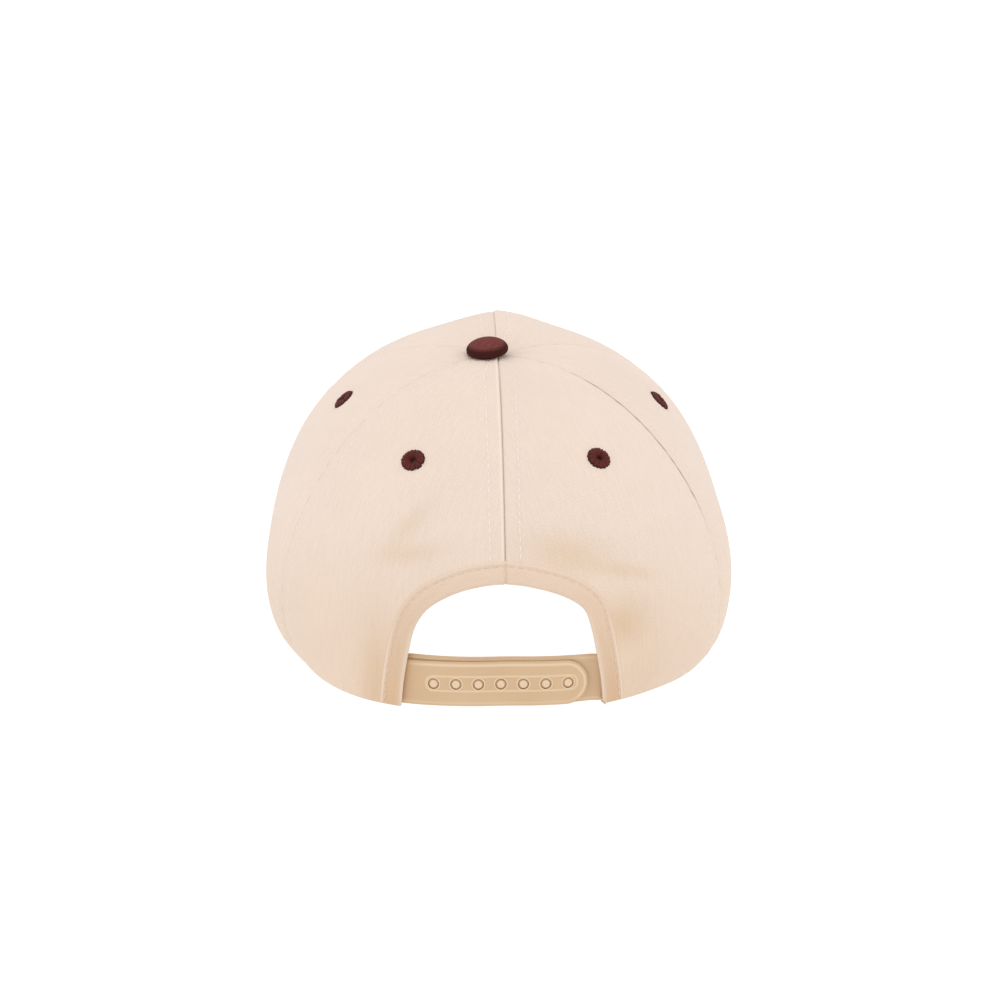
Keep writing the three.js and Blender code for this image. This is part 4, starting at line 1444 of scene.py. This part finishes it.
# %% Wires and nodes
class Finish:
    """A material that is being mixed."""

    def __init__(self, name):
        self.material = bpy.data.materials.new(name)
        self.material.use_nodes = True
        self.tree = self.material.node_tree
        self.tree.nodes.clear()

    def node(self, kind, settings=None, out=0, **sockets):
        """Adds a node: its settings first, then the values or wires of its sockets."""
        node = self.tree.nodes.new("ShaderNode" + kind)
        for key, value in (settings or {}).items():
            setattr(node, key, value)
        for key, value in sockets.items():
            socket = node.inputs[int(key[1:]) if key[1:].isdigit() else key.replace("_", " ")]
            if isinstance(value, Wire):
                self.tree.links.new(value.socket, socket)
            else:
                socket.default_value = value
        return Wire(self, node.outputs[out])

    def ramp(self, fac, stops):
        """A colour ramp whose stops are set before it is wired."""
        wire = self.node("ValToRGB")
        ramp = wire.socket.node.color_ramp
        while len(ramp.elements) < len(stops):
            ramp.elements.new(1)
        for element, (at, colour) in zip(ramp.elements, stops):
            element.position, element.color = at, (*colour, 1)
        self.tree.links.new(fac.socket, wire.socket.node.inputs["Fac"])
        return wire

    def blend(self, factor, first, second, how="MIX"):
        """Mixes two colours."""
        settings = dict(data_type="RGBA", blend_type=how)
        colours = [c if isinstance(c, Wire) else (*c, 1) for c in (first, second)]
        return self.node("Mix", settings, 2, _0=factor, _6=colours[0], _7=colours[1])

    def noted(self, name):
        """The values that a piece keeps under a name, or 0 where it keeps none."""
        return self.node("Attribute", dict(attribute_name=name), out="Fac")

    def surface(self, **sockets):
        return self.finish(self.node("BsdfPrincipled", **sockets))

    def finish(self, shader):
        output = self.tree.nodes.new("ShaderNodeOutputMaterial")
        self.tree.links.new(shader.socket, output.inputs["Surface"])
        return self.material


class Wire:
    """A socket of a finish, which can be used in a sum."""

    def __init__(self, finish, socket):
        self.finish, self.socket = finish, socket

    def maths(self, operation, *others, clamp=False):
        terms = {f"_{k}": value for k, value in enumerate((self, *others))}
        return self.finish.node("Math", dict(operation=operation, use_clamp=clamp), **terms)

    def __add__(self, other):
        return self.maths("ADD", other)

    def __sub__(self, other):
        return self.maths("SUBTRACT", other)

    def __rsub__(self, other):
        return (self * -1) + other

    def __mul__(self, other):
        return self.maths("MULTIPLY", other)

    def __pow__(self, other):
        return self.maths("POWER", other)

    __radd__, __rmul__ = __add__, __mul__

    def wave(self, pitch=1.0):
        """A cosine from 0 to 1 with a given pitch."""
        return (self * (2 * math.pi / pitch)).maths("COSINE") * 0.5 + 0.5

    def between(self, low, high):
        """0 below low, 1 above high and a straight line between them."""
        return (self * (1 / (high - low)) - low / (high - low)).maths("ADD", 0, clamp=True)


print("wires are ready")

# %% [markdown]
# ## Twill
# Twill shows fine diagonal ribs, crossed by the upright yarns that float over them, and no two yarns are
# quite as thick. The pattern is worked out in millimetres of the cloth's own UV map, so it bends with the
# panel and keeps its scale. Valleys get painted shade, the colour drifts slowly, and a short sheen stands
# for fuzz. Painted shade and warm bounce light grow towards the rim, and the notes of a piece add painted
# shade in folds and seam lines and a painted highlight on folded edges.

# %% Mix the twill
TWILL = dict(pitch=0.72, lean=60, yarn=0.66, height=0.00009)
RIM_SHADE = dict(low=2, high=62, most=0.75)  # painted shade and warm bounce light towards the rim; heights in millimetres above the surface that the cap rests on
EDGE_SHADE = (7.2, 8.35)  # painted shade under a button's edge, growing between these distances from its middle
# painted shade in seam lines
SEAM_SHADE_COLOUR = (0.38, 0.29, 0.22)
# painted shade in folds
FOLD_SHADE_COLOUR = (0.89, 0.82, 0.7)
# painted highlight on folded edges
HIGHLIGHT_COLOUR = (0.95, 0.82, 0.7)


def in_millimetres(finish):
    """The two directions of the cloth and the height in the object, as wires."""
    uv = finish.node("TexCoord", out="UV")
    place = finish.node("TexCoord", out="Object")
    across = finish.node("SeparateXYZ", out="X", Vector=uv) * 1000
    up = finish.node("SeparateXYZ", out="Y", Vector=uv) * 1000
    return across, up, finish.node("SeparateXYZ", out="Z", Vector=place) * 1000, place


def mottle(finish, place, scale, detail=2):
    """Noise from 0 to 1 on object coordinates, in cycles per metre."""
    return finish.node("TexNoise", Vector=place, Scale=scale, Detail=detail, Roughness=0.55)


def bump(finish, distance, height):
    return finish.node("Bump", Strength=1.0, Distance=distance, Height=height)


def twill_height(finish, across, up):
    lean = math.radians(TWILL["lean"])
    over = across * math.sin(lean) - up * math.cos(lean)
    along = across * math.cos(lean) + up * math.sin(lean)
    flat = finish.node("CombineXYZ", X=across * 0.9, Y=up * 0.12)
    slub = finish.node("TexNoise", Vector=flat, Scale=1.0, Detail=3.0, Roughness=0.6)
    wander = (slub - 0.5) * 0.5
    rib = (over + wander).wave(TWILL["pitch"])
    yarn = (across + wander * 0.5).wave(TWILL["yarn"])
    float_end = (along + over * 0.37).wave(1.3)
    height = rib * 0.55 + rib * yarn * 0.3 + float_end * 0.08 + (slub - 0.5) * 0.5
    return height, slub


def twill(name, colour, valley, rim, sheen, gloss, painted_edge_shade=False):
    """Towards the rim the cloth gets painted shade and warm bounce light from the rim colour, and a button's
    cloth gets painted shade at its edge, where it turns under.
    """
    finish = Finish(name)
    across, up, height_up, place = in_millimetres(finish)
    height, slub = twill_height(finish, across, up)
    drift = mottle(finish, place, 14)
    fuzz = mottle(finish, place, 1600, 1)
    # Painted shade in the valleys of the weave
    base = finish.blend(height.between(-0.05, 0.75), valley, colour)
    # Painted shade and warm bounce light, growing towards the rim
    painted_rim_shade = (1 - height_up.between(RIM_SHADE["low"], RIM_SHADE["high"])) * RIM_SHADE["most"]
    base = finish.blend(painted_rim_shade, base, rim, "MULTIPLY")
    shade = finish.ramp(drift * 0.6 + slub * 0.4, [(0.3, (0.955, 0.95, 0.94)), (0.7, (1.02, 1.02, 1.02))])
    base = finish.blend(1.0, base, shade, "MULTIPLY")
    # Painted shade under the edge of the button
    if painted_edge_shade:
        radius = (across ** 2.0 + up ** 2.0) ** 0.5
        base = finish.blend(radius.between(*EDGE_SHADE), base, valley)
    # painted shade in folds
    base = finish.blend(finish.noted("hollow"), base, FOLD_SHADE_COLOUR, "MULTIPLY")
    # painted highlight on folded edges
    base = finish.blend(finish.noted("raised"), base, HIGHLIGHT_COLOUR)
    # painted shade in seam lines
    base = finish.blend(finish.noted("crease"), base, SEAM_SHADE_COLOUR, "MULTIPLY")
    normal = bump(finish, TWILL["height"], height + fuzz * 0.35)
    return finish.surface(
        Base_Color=base, Roughness=0.84 + (fuzz - 0.5) * 0.12, Normal=normal,
        Sheen_Weight=sheen, Sheen_Roughness=0.4, Specular_IOR_Level=gloss,
    )


# the rim colours are painted shade and bounce light, strongest on the hem
TWILLS = dict(
    twill_pale=((0.88, 0.735, 0.635), (0.825, 0.67, 0.565), (0.99, 0.92, 0.82), 0.24, 0.2),
    twill_hem=((0.86, 0.7, 0.59), (0.79, 0.62, 0.5), (0.83, 0.66, 0.42), 0.1, 0.2),
    twill_maroon=((0.17, 0.047, 0.04), (0.085, 0.02, 0.017), (1, 1, 1), 0.04, 0.15),
    twill_button=((0.28, 0.075, 0.064), (0.05, 0.011, 0.009), (1, 1, 1), 0, 0.1, True),
)
FINISHES = {name: twill(name, *values) for name, values in TWILLS.items()}
print("twill at", TWILL["pitch"], "mm a rib")

# %% [markdown]
# ## Threads, band and strap
# A sewing thread is twisted from finer ones, so its highlight is broken by slanting lines, painted into its
# colour, and it gets painted shade where it goes into the cloth. The band is a soft knit with tiny loops,
# with painted shade between them. The strap is moulded and a little translucent in life, with a faint grain
# from its mould, so its roughness and height carry a fine noise, and its raised parts get a painted
# highlight.

# %% Mix the other finishes
def twisted(name, colour, dark, rough, sheen=0.15, ends=None):
    """A thread can get painted shade between two lengths along it, where it goes into the cloth."""
    finish = Finish(name)
    across, up, _, place = in_millimetres(finish)
    strand = (up * 1.6 + across * 1.9).wave(1.0)
    tone = mottle(finish, place, 260)
    # Painted highlight and shade along the twist of the thread
    base = finish.blend(strand * 0.7 + tone * 0.3, dark, colour)
    # Painted shade where the thread goes into the cloth
    if ends:
        base = finish.blend(up.between(*ends), base, dark)
    normal = bump(finish, 0.00007, strand)
    return finish.surface(
        Base_Color=base, Roughness=rough + (tone - 0.5) * 0.2, Normal=normal,
        Sheen_Weight=sheen, Specular_IOR_Level=0.2,
    )


def knit(name, colour, dark):
    finish = Finish(name)
    across, up, _, place = in_millimetres(finish)
    loop = (across + (up * 2).wave(1.0) * 0.15).wave(0.8) * up.wave(0.6)
    tone = mottle(finish, place, 60)
    # Painted shade between the loops
    base = finish.blend(loop * 0.7 + tone * 0.3, dark, colour)
    normal = bump(finish, 0.00012, loop + tone * 0.3)
    return finish.surface(Base_Color=base, Roughness=0.9, Normal=normal, Sheen_Weight=0.15)


def moulded(name, colour, dark, painted_highlight_colour):
    """The parts that stand off the strap's face get a painted highlight, a lighter colour."""
    finish = Finish(name)
    _, _, _, place = in_millimetres(finish)
    grain = mottle(finish, place, 2600, 2)
    cloud = mottle(finish, place, 45, 3)
    base = finish.blend(cloud.between(0.25, 0.75), dark, colour)
    # Painted highlight on the border, rib, collars and studs
    base = finish.blend(finish.noted("raised") * 0.7, base, painted_highlight_colour)
    normal = bump(finish, 0.00003, grain + cloud * 1.5)
    return finish.surface(
        Base_Color=base, Roughness=0.4 + grain * 0.12, Normal=normal, Coat_Weight=0.08, Coat_Roughness=0.25
    )


FINISHES |= {
    "thread_pale": twisted("thread_pale", (0.97, 0.86, 0.77), (0.88, 0.75, 0.65), 0.65),
    "thread_hem": twisted("thread_hem", (0.86, 0.69, 0.55), (0.72, 0.55, 0.41), 0.65),
    "thread_maroon": twisted("thread_maroon", (0.14, 0.034, 0.027), (0.06, 0.014, 0.01), 0.6, 0),
    "thread_eyelet": twisted("thread_eyelet", (0.2, 0.035, 0.027), (0.04, 0.007, 0.005), 0.6, 0, (4.7, 5.6)),
    "cotton_band": knit("cotton_band", (0.82, 0.69, 0.58), (0.66, 0.53, 0.42)),
    "moulded_strap": moulded("moulded_strap", (0.68, 0.465, 0.275), (0.63, 0.42, 0.24), (0.86, 0.67, 0.46)),
}
print(len(FINISHES), "finishes")

# %% [markdown]
# ## Put the patterns away, and tie every piece to the frame
# The turned patterns have been copied and can go. Each piece then gets its finish, the solids that it stands
# for are hidden, and it rides on the one body of a cap.

# %% Ride, replace and finish
for pattern in (stitch, thread, punch, punches, collar, stud):
    bpy.data.objects.remove(pattern)

STANDS_FOR = {
    button: ("twill_button", "maroon_cloth", ["top_button"]),
    peak: ("twill_maroon", "maroon_cloth", ["peak"]),
    peak_stitches: ("thread_maroon", "maroon_thread", []),
    band: ("cotton_band", "band_cloth", ["sweatband"]),
    band_stitches: ("thread_pale", "band_cloth", []),
    hole_strap: ("moulded_strap", "strap_plastic", ["hole_strap"]),
    stud_strap: ("moulded_strap", "strap_plastic", ["stud_strap"]),
    arch_hem: ("twill_hem", "twill", []),
    crown_stitches: ("thread_pale", "twill", []),
    arch_stitches: ("thread_hem", "twill", []),
}
STANDS_FOR |= {piece: ("twill_pale", "twill", [node]) for node, piece in panels.items()}
STANDS_FOR |= {piece: ("thread_eyelet", "maroon_thread", [node]) for node, piece in eyelets.items()}
for piece, (finish, slot, nodes) in STANDS_FOR.items():
    points = points_of(piece)
    points[:, 2] = np.maximum(points[:, 2], 0)  # nothing dips below the surface that the cap rests on
    set_points(piece, points)
    smooth(piece)
    piece.data.materials.clear()
    piece.data.materials.append(FINISHES[finish])
    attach(piece, "root")
    if nodes:
        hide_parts(*nodes)
print(len(STANDS_FOR), "pieces ride on the cap")

# %% [markdown]
# ## Camera, floor and light
# The cap was seen from behind, about sixteen degrees above level and a touch to the left. A long lens at a
# metre and a half gives the same flat perspective. Wide soft lamps stand by the camera and at both sides, and
# one hangs overhead, over a pale floor, so the cloth is lit almost evenly and its relief still shows.

# %% Camera
VIEW = dict(elevation=16, left=2.0, distance=1500, lens=140.4, sensor=36, across=1.03, height=50.8)


def place_camera():
    target = Vector(to_frame([VIEW["across"], 0, VIEW["height"]]))
    up, side = math.radians(VIEW["elevation"]), math.radians(VIEW["left"])
    away = Vector((-math.sin(side) * math.cos(up), -math.cos(side) * math.cos(up), math.sin(up)))
    bpy.ops.object.camera_add(location=target + away * VIEW["distance"] * MM)
    camera = newest("camera")
    camera.rotation_euler = (-away).to_track_quat("-Z", "Y").to_euler()
    camera.data.lens, camera.data.sensor_width = VIEW["lens"], VIEW["sensor"]
    camera.data.clip_start = 0.05
    bpy.context.scene.camera = camera
    return camera


deselect_all()
camera = place_camera()
print("camera at", [round(x, 3) for x in camera.location])

# %% [markdown]
# ## A pale floor and soft lamps
# A square lamp a metre wide throws shadows with soft edges. The floor is paper that glows a little, as on a
# light table, and the sky is an even white, so nothing around the cap is grey and its shadows stay light.

# %% Floor, lamps and sky
LAMP_SIZE = 1.0
MIDDLE = Vector((0, 0, 0.05))  # of the cap, which every lamp looks at


def soft_lamp(name, power, azimuth, elevation, distance):
    """A square lamp that looks at the cap. Azimuth 0 is behind the cap, where the camera stands."""
    turn, up = math.radians(azimuth), math.radians(elevation)
    away = Vector((math.sin(turn) * math.cos(up), -math.cos(turn) * math.cos(up), math.sin(up)))
    bpy.ops.object.light_add(type="AREA", location=away * distance + MIDDLE)
    lamp = newest(name)
    lamp.rotation_euler = (-away).to_track_quat("-Z", "Y").to_euler()
    lamp.data.size, lamp.data.energy = LAMP_SIZE, power
    return lamp


def paper():
    """Backdrop paper that is lit from behind as well, so it stays pale even in shadow."""
    finish = Finish("paper")
    diffuse = finish.node("BsdfDiffuse", Color=(0.35, 0.35, 0.35, 1))
    glow = finish.node("Emission", Color=(1, 1, 1, 1), Strength=0.9)
    return finish.finish(finish.node("AddShader", _0=diffuse, _1=glow))


deselect_all()
bpy.ops.mesh.primitive_plane_add(size=12)
floor = newest("floor")
floor.data.materials.append(paper())
floor.visible_diffuse = False
LAMPS = table(
    "name power azimuth elevation distance",
    ("front_lamp", 1.0, -14, 34, 2.0),
    ("left_lamp", 1.9, -80, 22, 2.0),
    ("right_lamp", 1.7, 80, 22, 2.0),
    ("top_lamp", 1.8, 20, 78, 1.6),
)
lamps = [soft_lamp(**lamp) for lamp in LAMPS]
world = bpy.data.worlds.new("studio")
world.use_nodes = True
sky = world.node_tree.nodes["Background"].inputs
sky["Color"].default_value, sky["Strength"].default_value = (1, 1, 1, 1), 0.96
bpy.context.scene.world = world
bpy.context.scene.view_settings.view_transform = "Standard"
print(len(lamps), "lamps")
